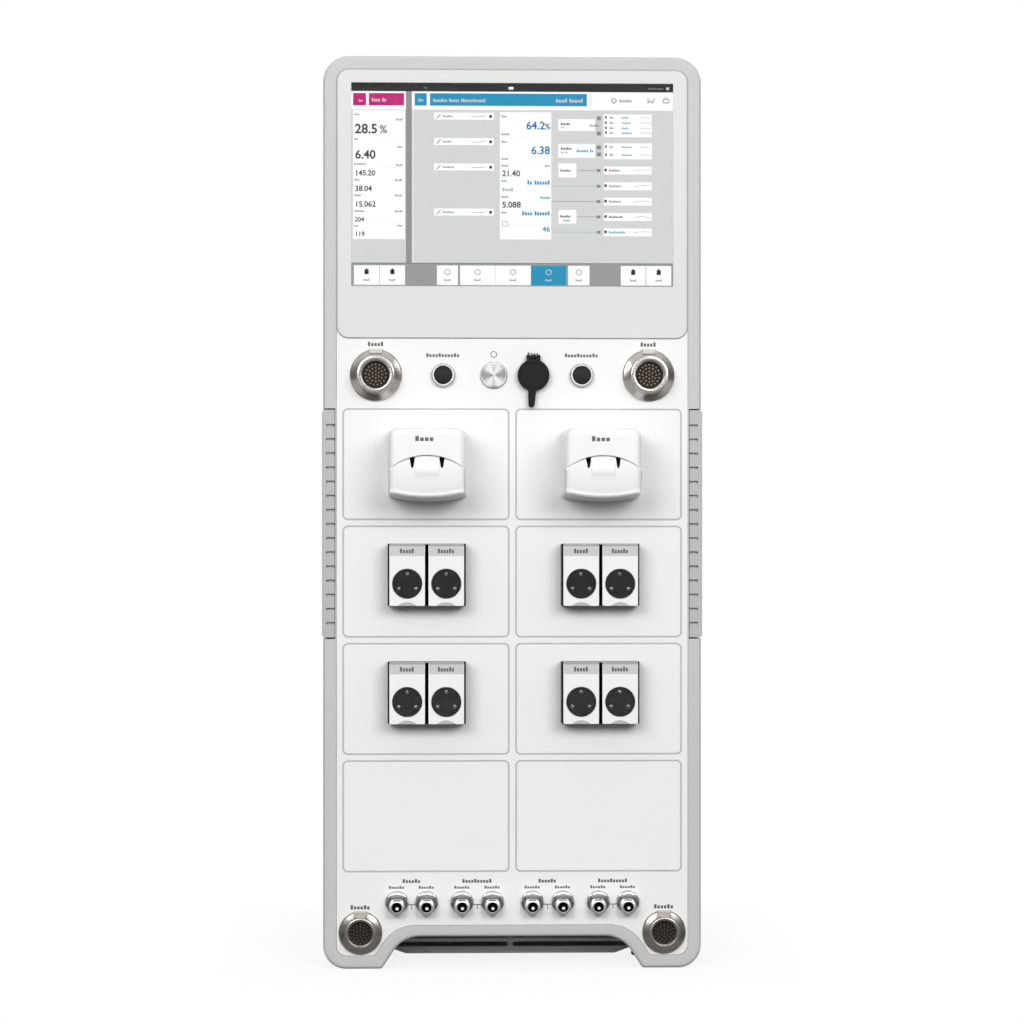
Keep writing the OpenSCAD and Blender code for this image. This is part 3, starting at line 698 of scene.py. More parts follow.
@dataclass
class Studio:
    """Pale floor, soft lamps and the camera in front of the tower, in metres and degrees."""

    face_y: float
    width_in_view: float = 0.9309
    distance: float = 2.6
    eye: Pair = (-0.066, 0.372)
    turn: float = 1.65
    middle: Pair = (-0.0004, 0.4154)
    sensor: float = 0.036
    view_end: float = 100.0
    floor_radius: float = 6.0
    floor_white: float = 0.95
    fill: float = 0.6
    mirrored: Pair = (0.42, 0.9)
    rise: Pair = (0.02, 0.45)
    sides: Pair = (0.3, 0.8)
    side_light: float = 0.25
    lamps: tuple[Lamp, ...] = (
        Lamp("key_left", (-1.1, -2.8, 1.35), (0, -0.1, 0.3), 1.5, 1.0, 37.5),
        Lamp("key_right", (1.1, -2.8, 1.35), (0, -0.1, 0.3), 1.5, 1.0, 37.5),
        Lamp("back", (0, 2.6, 1.8), (0, 0, 0.4), 2.0, 1.4, 30, mirrored=False),
    )
    fades: tuple[Fade, ...] = (
        Fade(Rays.DIFFUSE, (0.0, 0.2), 0.85, 0.03),
        Fade(Rays.GLOSSY, (0.0, 0.06), 0.8, 0.1),
        Fade(Rays.GLOSSY, (0.45, 1.1), 0.0, 0.6),
        Fade(Rays.SEEN, (0.0, 0.16), 0.86, 1.0),
    )

    def build(self) -> None:
        """Makes the camera, the lamps, the world and the floor."""
        self.place_camera()
        for lamp in self.lamps:
            lamp.hang()
        self.light_world()
        self.lay_floor()
        bpy.context.scene.view_settings.view_transform = "Standard"

    def place_camera(self) -> None:
        """Sets a level camera, turned a little to the right; its shift centres the tower in the view.

        The shift is where the tower's middle would stand: its place across and up over its distance along the
        view, times the share of the view that a metre at the camera's distance takes.
        """
        data = bpy.data.cameras.new("camera")
        camera = bpy.data.objects.new("camera", data)
        bpy.context.scene.collection.objects.link(camera)
        camera.location = (self.eye[0], self.face_y - self.distance, self.eye[1])
        camera.rotation_euler = (math.pi / 2, 0, -math.radians(self.turn))
        per_metre = self.distance / self.width_in_view
        data.sensor_width = self.sensor / MM
        data.lens = self.sensor / MM * per_metre
        off = self.middle[0] - self.eye[0]
        aim = math.atan2(off, self.distance) - math.radians(self.turn)
        data.shift_x = math.tan(aim) * per_metre
        reach = math.hypot(off, self.distance) * math.cos(aim)
        data.shift_y = (self.middle[1] - self.eye[1]) / reach * per_metre
        data.clip_end = self.view_end
        data.dof.use_dof = False
        bpy.context.scene.camera = camera

    def light_world(self) -> None:
        """Sets the world: an even light, what metal mirrors, and plain white where it is seen."""
        world = bpy.data.worlds.new("room")
        world.use_nodes = True
        tree = world.node_tree
        tree.nodes.clear()
        path = add_node(tree, "LightPath")
        light = self.background(tree, self.fill)
        for rays, strength in ((Rays.GLOSSY, self.sky(tree)), (Rays.SEEN, 1.0)):
            light = add_node(tree, "MixShader", {"Fac": rays.share(tree, path), 1: light,
                                                 2: self.background(tree, strength)}).outputs["Shader"]
        add_node(tree, "OutputWorld", {"Surface": light})
        bpy.context.scene.world = world

    def background(self, tree: Tree, strength: float | Plug) -> Plug:
        """The output of a new even white background of that strength."""
        node = add_node(tree, "Background", {"Color": (1, 1, 1, 1), "Strength": strength})
        return node.outputs["Background"]

    def sky(self, tree: Tree) -> Plug:
        """Works out how bright metal mirrors the room: light overhead, less so ahead, and dark to the sides.

        It is the product of a ramp over the direction's Z and one over the size of its X.

        Args:
            tree: The world's node tree.

        Returns:
            The brightness.
        """
        way = add_node(tree, "TexCoord")
        parts = add_node(tree, "SeparateXYZ", {"Vector": way.outputs["Generated"]})
        across = add_node(tree, "Math", {0: parts.outputs["X"]}, operation="ABSOLUTE")
        above = ramp(tree, parts.outputs["Z"], self.rise, self.mirrored)
        beside = ramp(tree, across.outputs["Value"], self.sides, (1.0, self.side_light))
        return add_node(tree, "Math", {0: above, 1: beside}, operation="MULTIPLY").outputs["Value"]

    def lay_floor(self) -> None:
        """Lays a round pale floor that shows the tower's shadow near it and fades into the white room."""
        low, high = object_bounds()
        foot = (high[0] - low[0]) / 2, (high[1] - low[1]) / 2, 0.0
        ring = np.pad(circle(self.floor_radius, 96), ((0, 0), (0, 1)))
        mesh = bpy.data.meshes.new("floor")
        mesh.from_pydata(ring.tolist(), [], [list(range(len(ring)))])
        floor = bpy.data.objects.new("floor", mesh)
        bpy.context.scene.collection.objects.link(floor)
        mesh.materials.append(self.floor_material(foot))
        floor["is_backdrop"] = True

    def floor_material(self, foot: Corner) -> bpy.types.Material:
        """Makes the floor's finish: matt white round the foot, and an even white glow further out.

        The distance to the foot is the length of what remains of the place's X and Y, made positive, once
        half the foot's size is taken from them. Each fade's ramp over it, times the share of its rays, mixes
        in its glow.

        Args:
            foot: Half the foot's width and depth, and 0.

        Returns:
            The new material.
        """
        material = bpy.data.materials.new("floor")
        material.use_nodes = True
        tree = material.node_tree
        tree.nodes.clear()
        last = add_node(tree, "TexCoord").outputs["Object"]
        for operation, amount in (("ABSOLUTE", (0, 0, 0)), ("SUBTRACT", foot), ("MAXIMUM", (0, 0, 0))):
            last = add_node(tree, "VectorMath", {0: last, 1: amount}, operation=operation).outputs["Vector"]
        far = add_node(tree, "VectorMath", {0: last}, operation="LENGTH").outputs["Value"]
        path = add_node(tree, "LightPath")
        shader = add_node(tree, "BsdfDiffuse", {"Color": (*[self.floor_white] * 3, 1)}).outputs["BSDF"]
        for fade in self.fades:
            near = ramp(tree, far, fade.span, (fade.least, 1.0), "SMOOTHERSTEP")
            share = add_node(tree, "Math", {0: near, 1: fade.rays.share(tree, path)}, operation="MULTIPLY")
            glow = add_node(tree, "Emission", {"Strength": fade.strength})
            shader = add_node(tree, "MixShader", {"Fac": share.outputs["Value"], 1: shader,
                                                  2: glow.outputs["Emission"]}).outputs["Shader"]
        add_node(tree, "OutputMaterial", {"Surface": shader})
        return material


# ---- The tower ----


@dataclass
class Carried:
    """The nodes that the tower takes over as they are, with softened edges and their own finishes.

    Widths are in millimetres and angles in degrees.
    """

    softened: dict[str, float] = field(default_factory=lambda: {
        "front_panel": 0.35, "display_bezel": 0.5, "cabinet_cover": 0.4, "feed_bay_plates": 0.45,
        "twin_bay_plates": 0.45, "blank_bay_plates": 0.45, "rear_panel": 0.3, "side_grip_left": 0.5,
        "side_grip_right": 0.5,
    })
    flat_angle: float = 0.5
    sharp_angle: float = 40.0

    def dress(self) -> None:
        """Gives each node its slot's finish, and the softened ones a rounded edge."""
        slots = {part["node"]: part["material_slot"] for part in frame["record"]["subparts"]}
        for name, node in frame["nodes"].items():
            node.data.materials.clear()
            finish = PLATE_PAINT if name.endswith("bay_plates") else SLOT_FINISHES[slots[name]]
            node.data.materials.append(finish.material())
            if name in self.softened:
                self.soften(node, self.softened[name] * MM)

    def soften(self, node: bpy.types.Object, width: float) -> None:
        """Joins a node's loose triangles and rounds its sharp edges.

        Args:
            node: The node's object.
            width: Width of the rounding in metres.
        """
        weld = node.modifiers.new("weld", "WELD")
        weld.merge_threshold = MERGED
        flat = node.modifiers.new("flat", "DECIMATE")
        flat.decimate_type = "DISSOLVE"
        flat.angle_limit = math.radians(self.flat_angle)
        bevel = node.modifiers.new("edges", "BEVEL")
        bevel.width = width
        bevel.segments = 2
        bevel.limit_method = "ANGLE"
        bevel.angle_limit = math.radians(self.sharp_angle)


@dataclass
class FrontFrame:
    """The grey frame: a rounded rim with two legs and an arch between them, and its thin side walls.

    Heights count from the bench and insets from the outer edge.
    """

    face_y: float
    rim: float = 12.0
    lip: float = 16.0
    wall: float = 3.0
    rim_depth: float = -0.4
    lip_depths: Pair = (-3.2, -7.0)
    back: float = -40.0
    grip_inset: float = 11.1
    grip_back: float = -30.2
    grip_gap: float = 1.2
    top_radius: float = 24.0
    leg_radius: float = 21.0
    least_radii: Pair = (2.0, 8.0)
    toe_radius: float = 3.5
    arch_top: float = 29.2
    arch_half: float = 118.6
    arch_slope: float = 57.0
    arch_bend: float = 29.0
    arch_inset: float = 0.88
    edge: Pair = (3.4, 3.4)
    inner_edge: float = 0.5

    def __post_init__(self) -> None:
        """Reads the frame's size and the grips' ends from their boxes."""
        low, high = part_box("front_frame")
        grip_low, grip_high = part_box("side_grip_left")
        self.half, self.bottom, self.top = high.x / MM, low.z / MM, high.z / MM
        self.cuts = grip_low.z / MM - self.grip_gap, grip_high.z / MM + self.grip_gap

    def upper(self, inward: float) -> np.ndarray:
        """Lays the path over the top, from above the right grip to above the left one.

        Args:
            inward: Distance by which the path moves inwards.

        Returns:
            The path's points.
        """
        x, top = self.half - inward, self.top - inward
        radius = max(self.top_radius - inward, self.least_radii[0])
        return rounded_outline([(x, self.cuts[1], 0), (x, top, radius), (-x, top, radius),
                                (-x, self.cuts[1], 0)], 14)

    def lower(self, inward: float) -> np.ndarray:
        """Lays the path from below the left grip round the legs and the arch.

        The arch's sloping end has the half width at the floor less the height over the slope's tangent, plus
        the distance over its sine.

        Args:
            inward: Distance by which the path moves inwards.

        Returns:
            The path's points.
        """
        slope = math.radians(self.arch_slope)
        x, floor, arch = self.half - inward, self.bottom + inward, self.arch_top + self.arch_inset * inward
        foot, crown = (self.arch_half - (z - self.bottom) / math.tan(slope) + inward / math.sin(slope)
                       for z in (floor, arch))
        leg, bend = max(self.leg_radius - inward, self.least_radii[1]), self.arch_bend + inward / 2
        right = [(crown, arch, bend), (foot, floor, self.toe_radius), (x, floor, leg), (x, self.cuts[0], 0)]
        return rounded_outline([(-across, *rest) for across, *rest in right[::-1]] + right, 12)

    def section(self) -> list[Pair]:
        """Draws the rim's section: a side wall, and a face rounded by quarters of ellipses at both edges.

        Returns:
            Inset and depth of each of its corners.
        """
        across, down = self.edge
        angle = np.radians(np.linspace(0, 90, 9))
        outer = zip(across * (1 - np.cos(angle)), self.rim_depth - down * (1 - np.sin(angle)))
        inner = zip(self.rim - self.inner_edge * (1 - np.sin(angle)),
                    self.rim_depth - self.inner_edge * (1 - np.cos(angle)))
        front, behind = self.lip_depths
        return [(0, self.back), *outer, *inner, (self.rim, front), (self.lip, front), (self.lip, behind),
                (self.wall, behind), (self.wall, self.back)]

    def beside_grip(self, side: int, inward: float) -> np.ndarray:
        """The straight path along a grip, upwards on the right and downwards on the left."""
        return np.array([(side * (self.half - inward), z) for z in self.cuts[::side]])

    def build(self) -> None:
        """Makes the rim above and below the grips, and what is left of it beside and behind them."""
        surface = Surface(self.face_y)
        surface.strip(self.upper, self.section())
        surface.strip(self.lower, self.section())
        front, behind = self.lip_depths
        ledge = [(self.grip_inset, self.rim_depth), (self.rim, self.rim_depth), (self.rim, front),
                 (self.lip, front), (self.lip, behind), (self.grip_inset, behind)]
        wall = [(0, self.grip_back), (self.wall, self.grip_back), (self.wall, self.back), (0, self.back)]
        for side in (-1, 1):
            for section in (ledge, wall):
                surface.strip(partial(self.beside_grip, side), section)
        surface.piece("front_frame_rounded", RIM_PAINT, slot="rim_paint", replaces=["front_frame"])


@dataclass
class Seams:
    """Grey strips of painted shade in the gaps round the bay plates and the display bezel, standing in for
    the gaps' shadow.
    """

    face_y: float
    plate: Corner = (149.0, 99.0, 3.6)
    gap: float = 1.4
    bezel_radius: float = 10.0
    bezel_gap: float = 1.5
    depths: Pair = (-0.3, -2.4)

    def ring(self, surface: Surface, outline: np.ndarray, gap: float) -> None:
        """Adds a flat ring that starts at the outline and fills the gap outside it."""
        front, back = self.depths
        surface.band(outline, [(0, front), (-gap, front), (-gap, back), (0, back)])

    def build(self) -> None:
        """Makes the painted shade strips of the eight bays and of the bezel."""
        plates, bezel = Surface(self.face_y), Surface(self.face_y)
        for z in BAY_ROWS:
            for side in (-1, 1):
                self.ring(plates, rectangle(*self.plate, (side * BAY_PITCH / 2, z), 6), self.gap)
        plates.piece("bay_gap_shade_strips", SEAM_SHADE, slot="rim_paint")
        low, high = (np.array(corner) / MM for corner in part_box("display_bezel"))
        (width, _, height), (x, _, z) = high - low, (low + high) / 2
        self.ring(bezel, rectangle(width, height, self.bezel_radius, (x, z), 10), self.bezel_gap)
        # The bezel's gap takes the darker painted shade of a shaded edge.
        bezel.piece("bezel_gap_shade", EDGE_SHADE, slot="rim_paint")


def display(red: float, green: float, blue: float) -> Colour:
    """The linear colour of a display value from 0 to 255 a channel, by the sRGB curve."""
    shares = (c / 255 for c in (red, green, blue))
    return tuple(((c + 0.055) / 1.055) ** 2.4 if c > 0.04 else c / 12.92 for c in shares)


def letters(surface: Surface, x: float, z: float, height: float, words: Sequence[int], low: float,
            high: float, tint: Colour | None = None, align: float = 0.5, width: float | None = None) -> None:
    """Adds a line of plain blocks in place of letters, so that it reads as print from afar.

    The first block of a word and about one in five of the others are tall.

    Args:
        surface: The surface to add to.
        x: Where the line is anchored along X.
        z: The line's foot.
        height: Height of a tall block.
        words: Number of blocks in each word.
        low: Depth of the blocks' backs.
        high: Depth of their fronts.
        tint: Their colour.
        align: 0 when the line starts at x, 0.5 when it is centred there, 1 when it ends there.
        width: The line's whole width; if left out, it follows from the height.
    """
    counts = np.array(words)
    pitch, space = height * BLOCK_PITCH, height * BLOCK_SPACE
    if width:
        pitch = width / (counts.sum() + FITTED_SPACE * (len(counts) - 1))
        space = FITTED_SPACE * pitch
    number = np.concatenate([np.arange(n) for n in counts])
    word = np.repeat(np.arange(len(counts)), counts)
    start = np.concatenate([[0], np.cumsum(counts)[:-1]]) * pitch + np.arange(len(counts)) * space
    left = x - align * (counts.sum() * pitch + (len(counts) - 1) * space) + start[word] + number * pitch
    tall = np.where((number == 0) | ((number * 7 + word * 3) % 5 == 3), height, height * SHORT_BLOCK)
    z = np.full(len(left), z)
    surface.slabs(np.stack([left, z, left + pitch * BLOCK_WIDTH, z + tall], axis=1), low, high, tint)


def numerals(surface: Surface, text: str, x: float, z: float, height: float, depth: float,
             tint: Colour | None = None, align: float = 0.0) -> None:
    """Adds numerals as flat outlines, from the plain built-in type.

    A numeral is as tall as its share of the type's size, and its strokes widen by a share of its height.

    Args:
        surface: The surface to add to.
        text: The numerals.
        x: Where they are anchored along X.
        z: Their foot.
        height: Their height.
        depth: Depth of their face.
        tint: Their colour.
        align: 0 when they start at x, 1 when they end there.
    """
    curve = bpy.data.curves.new("numerals", "FONT")
    curve.body = text
    curve.size = height * MM / NUMERAL_HEIGHT
    curve.offset = NUMERAL_BOLD * height * MM
    curve.resolution_u = NUMERAL_STEPS
    carrier = bpy.data.objects.new("numerals", curve)
    mesh = carrier.to_mesh()
    points = np.empty(len(mesh.vertices) * 3)
    mesh.vertices.foreach_get("co", points)
    across, up, _ = points.reshape(-1, 3).T / MM
    faces = [list(face.vertices) for face in mesh.polygons]
    carrier.to_mesh_clear()
    bpy.data.objects.remove(carrier)
    bpy.data.curves.remove(curve)
    left = x - align * across.max()
    flat = np.stack([across + left, np.full(len(across), surface.face_y - depth), up + z], axis=1)
    surface.add(flat, faces, None, tint)


BLACK = display(20, 20, 20)
DARK = display(62, 62, 64)
GREY = display(128, 130, 132)
PALE = display(198, 200, 201)
BACKGROUND = display(210, 211, 211)
BAND = display(150, 150, 151)
PAPER = display(254, 254, 254)
MAGENTA = display(190, 10, 110)
BLUE = display(4, 143, 186)
DEEP_BLUE = display(16, 124, 184)
TEAL = display(150, 178, 182)
BLUSH = display(238, 226, 230)
WINE = display(150, 60, 80)
DIVIDER = display(143, 143, 144)
LIGHT = display(222, 222, 222)
RULE = display(226, 226, 227)
EDGE_GREY = display(122, 122, 123)


@dataclass
class Screen:
    """The touch screen's lit picture: flat patches in millimetres from the screen's upper left corner."""

    face_y: float
    width: float = 292.8
    bar_foot: float = 7.6
    head_foot: float = 24.2
    band_top: float = 163.4
    bottom: float = 184.9
    overlap: float = 0.2
    backing: float = -1.78
    layer: float = 0.03
    film: float = 0.01
    hairline: float = 0.35
    stroke: float = 0.45

    def __post_init__(self) -> None:
        """Starts with no patches, just outside the glass's upper left corner."""
        low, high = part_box("touch_glass")
        self.left, self.top = low.x / MM - self.overlap, high.z / MM + self.overlap
        self.surface = Surface(self.face_y)

    def depth(self, layer: int) -> float:
        """Depth of a layer's face; higher layers lie nearer the glass."""
        return self.backing + self.layer * layer

    def patch(self, u0: float, v0: float, u1: float, v1: float, colour: Colour, layer: int = 1) -> None:
        """Draws a rectangle from its left, top, right and bottom."""
        place = (self.left + u0, self.top - v1, self.left + u1, self.top - v0)
        self.surface.slabs([place], self.depth(layer) - self.film, self.depth(layer), colour)

    def line(self, points: Sequence[Pair], width: float, colour: Colour, layer: int = 2) -> None:
        """Draws a line through points: each stretch is widened by its own normal.

        Args:
            points: Its points.
            width: Its width.
            colour: Its colour.
            layer: The layer it lies on.
        """
        path = np.array(points)
        way = np.diff(path, axis=0)
        side = np.stack([-way[:, 1], way[:, 0]], axis=1)
        side *= width / 2 / np.linalg.norm(side, axis=1, keepdims=True)
        corners = np.stack([path[:-1] - side, path[1:] - side, path[1:] + side, path[:-1] + side], axis=1)
        corners = corners.reshape(-1, 2)
        flat = np.stack([self.left + corners[:, 0], np.full(len(corners), self.face_y - self.depth(layer)),
                         self.top - corners[:, 1]], axis=1)
        self.surface.add(flat, np.arange(len(flat)).reshape(-1, 4).tolist(), None, colour)

    def words(self, u: float, v: float, height: float, counts: Sequence[int], colour: Colour = GREY,
              layer: int = 2, align: float = 0.0) -> None:
        """Draws a line of blocks whose foot is at v."""
        letters(self.surface, self.left + u, self.top - v, height, counts, self.depth(layer) - self.film,
                self.depth(layer), colour, align)

    def figures(self, text: str, u: float, v: float, height: float, colour: Colour = DARK,
                align: float = 0.0) -> None:
        """Draws numerals whose foot is at v."""
        numerals(self.surface, text, self.left + u, self.top - v, height, self.depth(2), colour, align)

    def head(self) -> None:
        """Draws the status bar and the header."""
        self.patch(0, 0, self.width, self.bottom, BACKGROUND, 0)
        self.patch(0, 0, self.width, self.bar_foot, BLACK)
        self.words(66, 4.8, 1.2, [4], GREY)
        self.patch(143, 3.2, 147.4, 5.6, PAPER, 2)
        self.words(284, 5.0, 1.6, [8, 5], GREY, align=1)
        self.patch(286.5, 3, 289.3, 5.4, PALE, 2)
        self.patch(0, self.bar_foot, self.width, self.head_foot, PAPER)
        self.patch(1.6, 9.3, 13.4, 20.6, MAGENTA, 2)
        self.patch(15.9, 9.3, 47.9, 20.6, MAGENTA, 2)
        self.words(7, 17, 2, [3], PALE, 3)
        self.words(18.6, 17, 3.2, [4, 2], PALE, 3)
        self.patch(57.5, 9.3, 68.5, 20.6, BLUE, 2)
        self.patch(71.4, 9.3, 214.2, 20.6, BLUE, 2)
        self.words(60.8, 16.8, 2.6, [3], PALE, 3)
        self.words(74.4, 17.2, 3.0, [7, 5, 12], PALE, 3)
        self.words(211, 17.2, 3.4, [5, 6], PALE, 3, 1)
        self.patch(216.8, 9, 218.2, 21.5, BLUSH, 2)
        self.line([(239, 12.5), (236.6, 15.2), (239, 17.8), (241.4, 15.2), (239.8, 13.6)], 0.9, GREY)
        self.words(244, 16.8, 2.6, [7], GREY)
        self.line([(270, 12.8), (270, 17.6), (272, 14.8), (274, 17.6), (275.8, 12.8)], 0.8, GREY)
        self.line([(284, 17.2), (289, 17.2), (289, 14), (284, 14), (284, 17.2)], 0.8, GREY)
        self.line([(285, 13), (286.5, 12.2), (288, 13)], 0.7, GREY)

    def vessel_column(self) -> None:
        """Draws the white column at the left with its readings."""
        self.patch(1.5, 25, 48.6, 142, PAPER)
        self.patch(49.6, self.bar_foot, 55, self.band_top, DIVIDER, 2)
        self.patch(55, self.head_foot, 57, self.band_top, LIGHT, 2)
        self.figures("28.5", 3.2, 45.8, 8.4)
        self.figures("%", 25.6, 45.6, 7.2, GREY)
        self.figures("6.40", 3.4, 68.8, 7.6)
        rows = ((29.6, 34.2, 4, 5), (52, 59, 3, 4), (74.6, 75.6, 9, 5), (89, 89.2, 4, 6),
                (103.2, 103.2, 5, 6), (117.4, 117.6, 8, 6), (131, 130.6, 3, 4))
        for left_foot, right_foot, count, right_count in rows:
            self.words(2.8, left_foot, 1.9, [count])
            self.words(46.6, right_foot, 1.9, [right_count], align=1)
        for text, foot, height in (("145.20", 84.2, 4.8), ("38.04", 98.4, 4.9), ("15.062", 112.6, 4.9),
                                   ("204", 126, 4), ("119", 139.4, 4.2)):
            self.figures(text, 3.2, foot, height)
        for v in (127.2, 53.5, 76.6):
            self.patch(12 if v > 100 else 26, v, 48.6, v + self.hairline, RULE, 2)

    def pump_strips(self) -> None:
        """Draws the four white strips left of the middle."""
        for v, count in ((26.8, 8), (49.9, 7), (73, 9), (114, 9)):
            self.patch(75.2, v, 129.6, v + 6.4, PAPER)
            self.line([(77.4, v + 5.2), (81.2, v + 1.6)], 0.9, GREY)
            self.words(83, v + 4.2, 1.9, [count])
            self.line([(109, v + 3.8), (118, v + 3.6), (122.4, v + 3 - (count == 7))], self.stroke, GREY)
            self.patch(125.4, v + 2.1, 127.8, v + 4.6, BLACK, 2)

    def reading_column(self) -> None:
        """Draws the white column in the middle with its blue readings."""
        self.patch(135, 26.2, 181.8, 142, PAPER)
        for foot, count in ((31, 4), (47.2, 6), (54, 4), (69.6, 5), (75.8, 5), (89.6, 4), (104.2, 5),
                            (118.4, 4)):
            self.words(136.4, foot, 2, [count])
        self.figures("64.2", 176, 41.6, 7, DEEP_BLUE, 1)
        self.figures("%", 181, 41.6, 5.4, BLUE, 1)
        self.figures("6.38", 180.6, 64.2, 7, DEEP_BLUE, 1)
        self.words(180.8, 75.8, 2, [4], GREY, align=1)
        self.figures("21.40", 137, 84.4, 5.2)
        self.words(180.8, 92, 3.8, [2, 6], BLUE, align=1)
        self.words(137.4, 98.2, 3.2, [5], TEAL)
        self.words(180.8, 105, 2.4, [6], BLUE, align=1)
        self.figures("5.088", 137, 113, 5.4)
        self.words(180.8, 120, 3.8, [4, 6], BLUE, align=1)
        self.line([(137.4, 129.8), (137.4, 125.4), (141.4, 125.4), (142.6, 129.8), (137.4, 129.8)], 0.5, GREY)
        self.figures("46", 180.6, 134.8, 4.8, BLUE, 1)
        for v in (49.6, 72.4, 128):
            self.patch(143, v, 181.8, v + self.hairline, RULE, 2)

    def flow_diagram(self) -> None:
        """Draws the boxes, strips and joining lines at the right."""
        for box in ((188.2, 32.3, 221.8, 43), (229.6, 27.8, 273.4, 48.6), (188.2, 54.8, 221.8, 67.4),
                    (229.6, 54.1, 273.4, 68.6), (188.4, 72.4, 204.6, 85.4), (188.4, 115, 204.6, 127.4)):
            self.patch(*box, PAPER)
        self.words(190.6, 37.8, 2.3, [6], DARK)
        self.words(190.6, 40.6, 1.3, [4])
        self.words(217, 39, 2.2, [6])
        self.words(190.6, 60.2, 2.3, [7], DARK)
        self.words(190.6, 63.4, 1.5, [3, 3])
        self.words(205, 62.4, 2.5, [7, 2], BLUE)
        self.words(190, 80, 2, [8], DARK)
        self.words(190, 121.8, 2.2, [7], DARK)
        self.words(193, 125.4, 1.8, [5], BLUE)
        for v0, v1 in ((29.6, 47), (56.2, 66)):
            self.patch(223, v0, 227.4, v1, PALE)
            for v in (v0, v1 - 3.4):
                self.patch(223.4, v, 227, v + 3.4, GREY, 2)
        for v, count, colour, stretch in ((31.6, 6, BLUE, 9), (36.4, 8, GREY, 10), (41.2, 6, BLUE, 9),
                                          (45.6, 9, GREY, 10), (58.4, 9, GREY, 9), (65.6, 9, BLUE, 9)):
            self.words(246, v, 1.7, [count], colour)
            self.line([(263, v - 0.6), (263 + stretch * 0.5, v - 1.1), (263 + stretch, v - 0.4)], self.stroke,
                      TEAL)
            self.words(235, v, 2, [3], GREY)
            self.patch(230.8, v - 2.3, 232.4, v, DARK, 2)
        rows = ((78.9, WINE, 8, 187, None), (93.2, GREY, 9, 183, TEAL), (107.2, GREY, 9, 183, GREY),
                (121.2, DARK, 10, 205, GREY), (135.2, BLUE, 12, 183, TEAL))
        for v, colour, count, start, joint in rows:
            self.patch(229.6, v - 3.6, 273.4, v + 3.6, PAPER)
            self.patch(230.2, v - 1.6, 232.4, v + 0.8, BLACK, 2)
            self.words(234.4, v + 0.9, 2, [count], colour)
            self.line([(256.5, v + 0.6), (262, v - 0.4), (266, v - 0.6), (272.5, v + 1.6 * math.sin(v))],
                      self.stroke, TEAL)
            self.line([(start if joint else 206, v), (223.4, v)], self.stroke, joint or GREY)
            self.patch(223.2, v - 1.3, 226.6, v + 1.3, GREY, 2)

    def foot(self) -> None:
        """Draws the band of buttons along the bottom."""
        self.patch(0, self.band_top, self.width, self.bottom, BAND, 0.5)
        self.patch(0, self.band_top, self.width, self.band_top + 0.8, EDGE_GREY, 2)
        buttons = ((2.4, 25.4, 0), (25.8, 48.8, 0), (77.8, 96.8, 1), (98.8, 130.6, 1), (130.9, 163.2, 1),
                   (163.4, 195.4, 2), (197.2, 216.6, 1), (245.2, 267.8, 0), (268.4, 291.2, 0))
        for u0, u1, kind in buttons:
            self.patch(u0, 165.8, u1, 183.6, BLUE if kind == 2 else PAPER)
            middle = (u0 + u1) / 2
            ink = PALE if kind == 2 else BLACK if kind == 0 else GREY
            if kind == 0:
                self.patch(middle - 1.9, 169.6, middle + 1.9, 174, ink, 2)
                self.patch(middle - 0.7, 168.6, middle + 0.7, 169.6, ink, 2)
            else:
                ring = np.array([(middle + 2.6 * math.cos(a), 171.8 + 2.4 * math.sin(a))
                                 for a in np.linspace(0, 2 * math.pi, 9)])
                self.line(ring.tolist(), 0.7, ink)
            self.words(middle, 180, 1.9, [5], PALE if kind == 2 else GREY, align=0.5)

    def build(self) -> None:
        """Draws the whole picture and lights it."""
        self.head()
        self.vessel_column()
        self.pump_strips()
        self.reading_column()
        self.flow_diagram()
        self.foot()
        self.surface.piece("screen_picture", PICTURE, slot="screen_panel")


@dataclass(frozen=True)
class Socket:
    """Sizes of one kind of round socket: its axis, its radii, its depths, its key and its pins' rings."""

    axis: Pair
    flange: float
    sleeve: float
    bore: float
    out: float
    floor: float
    barrel: float
    key_height: float
    pin: float
    rings: tuple[tuple[float, int], ...]


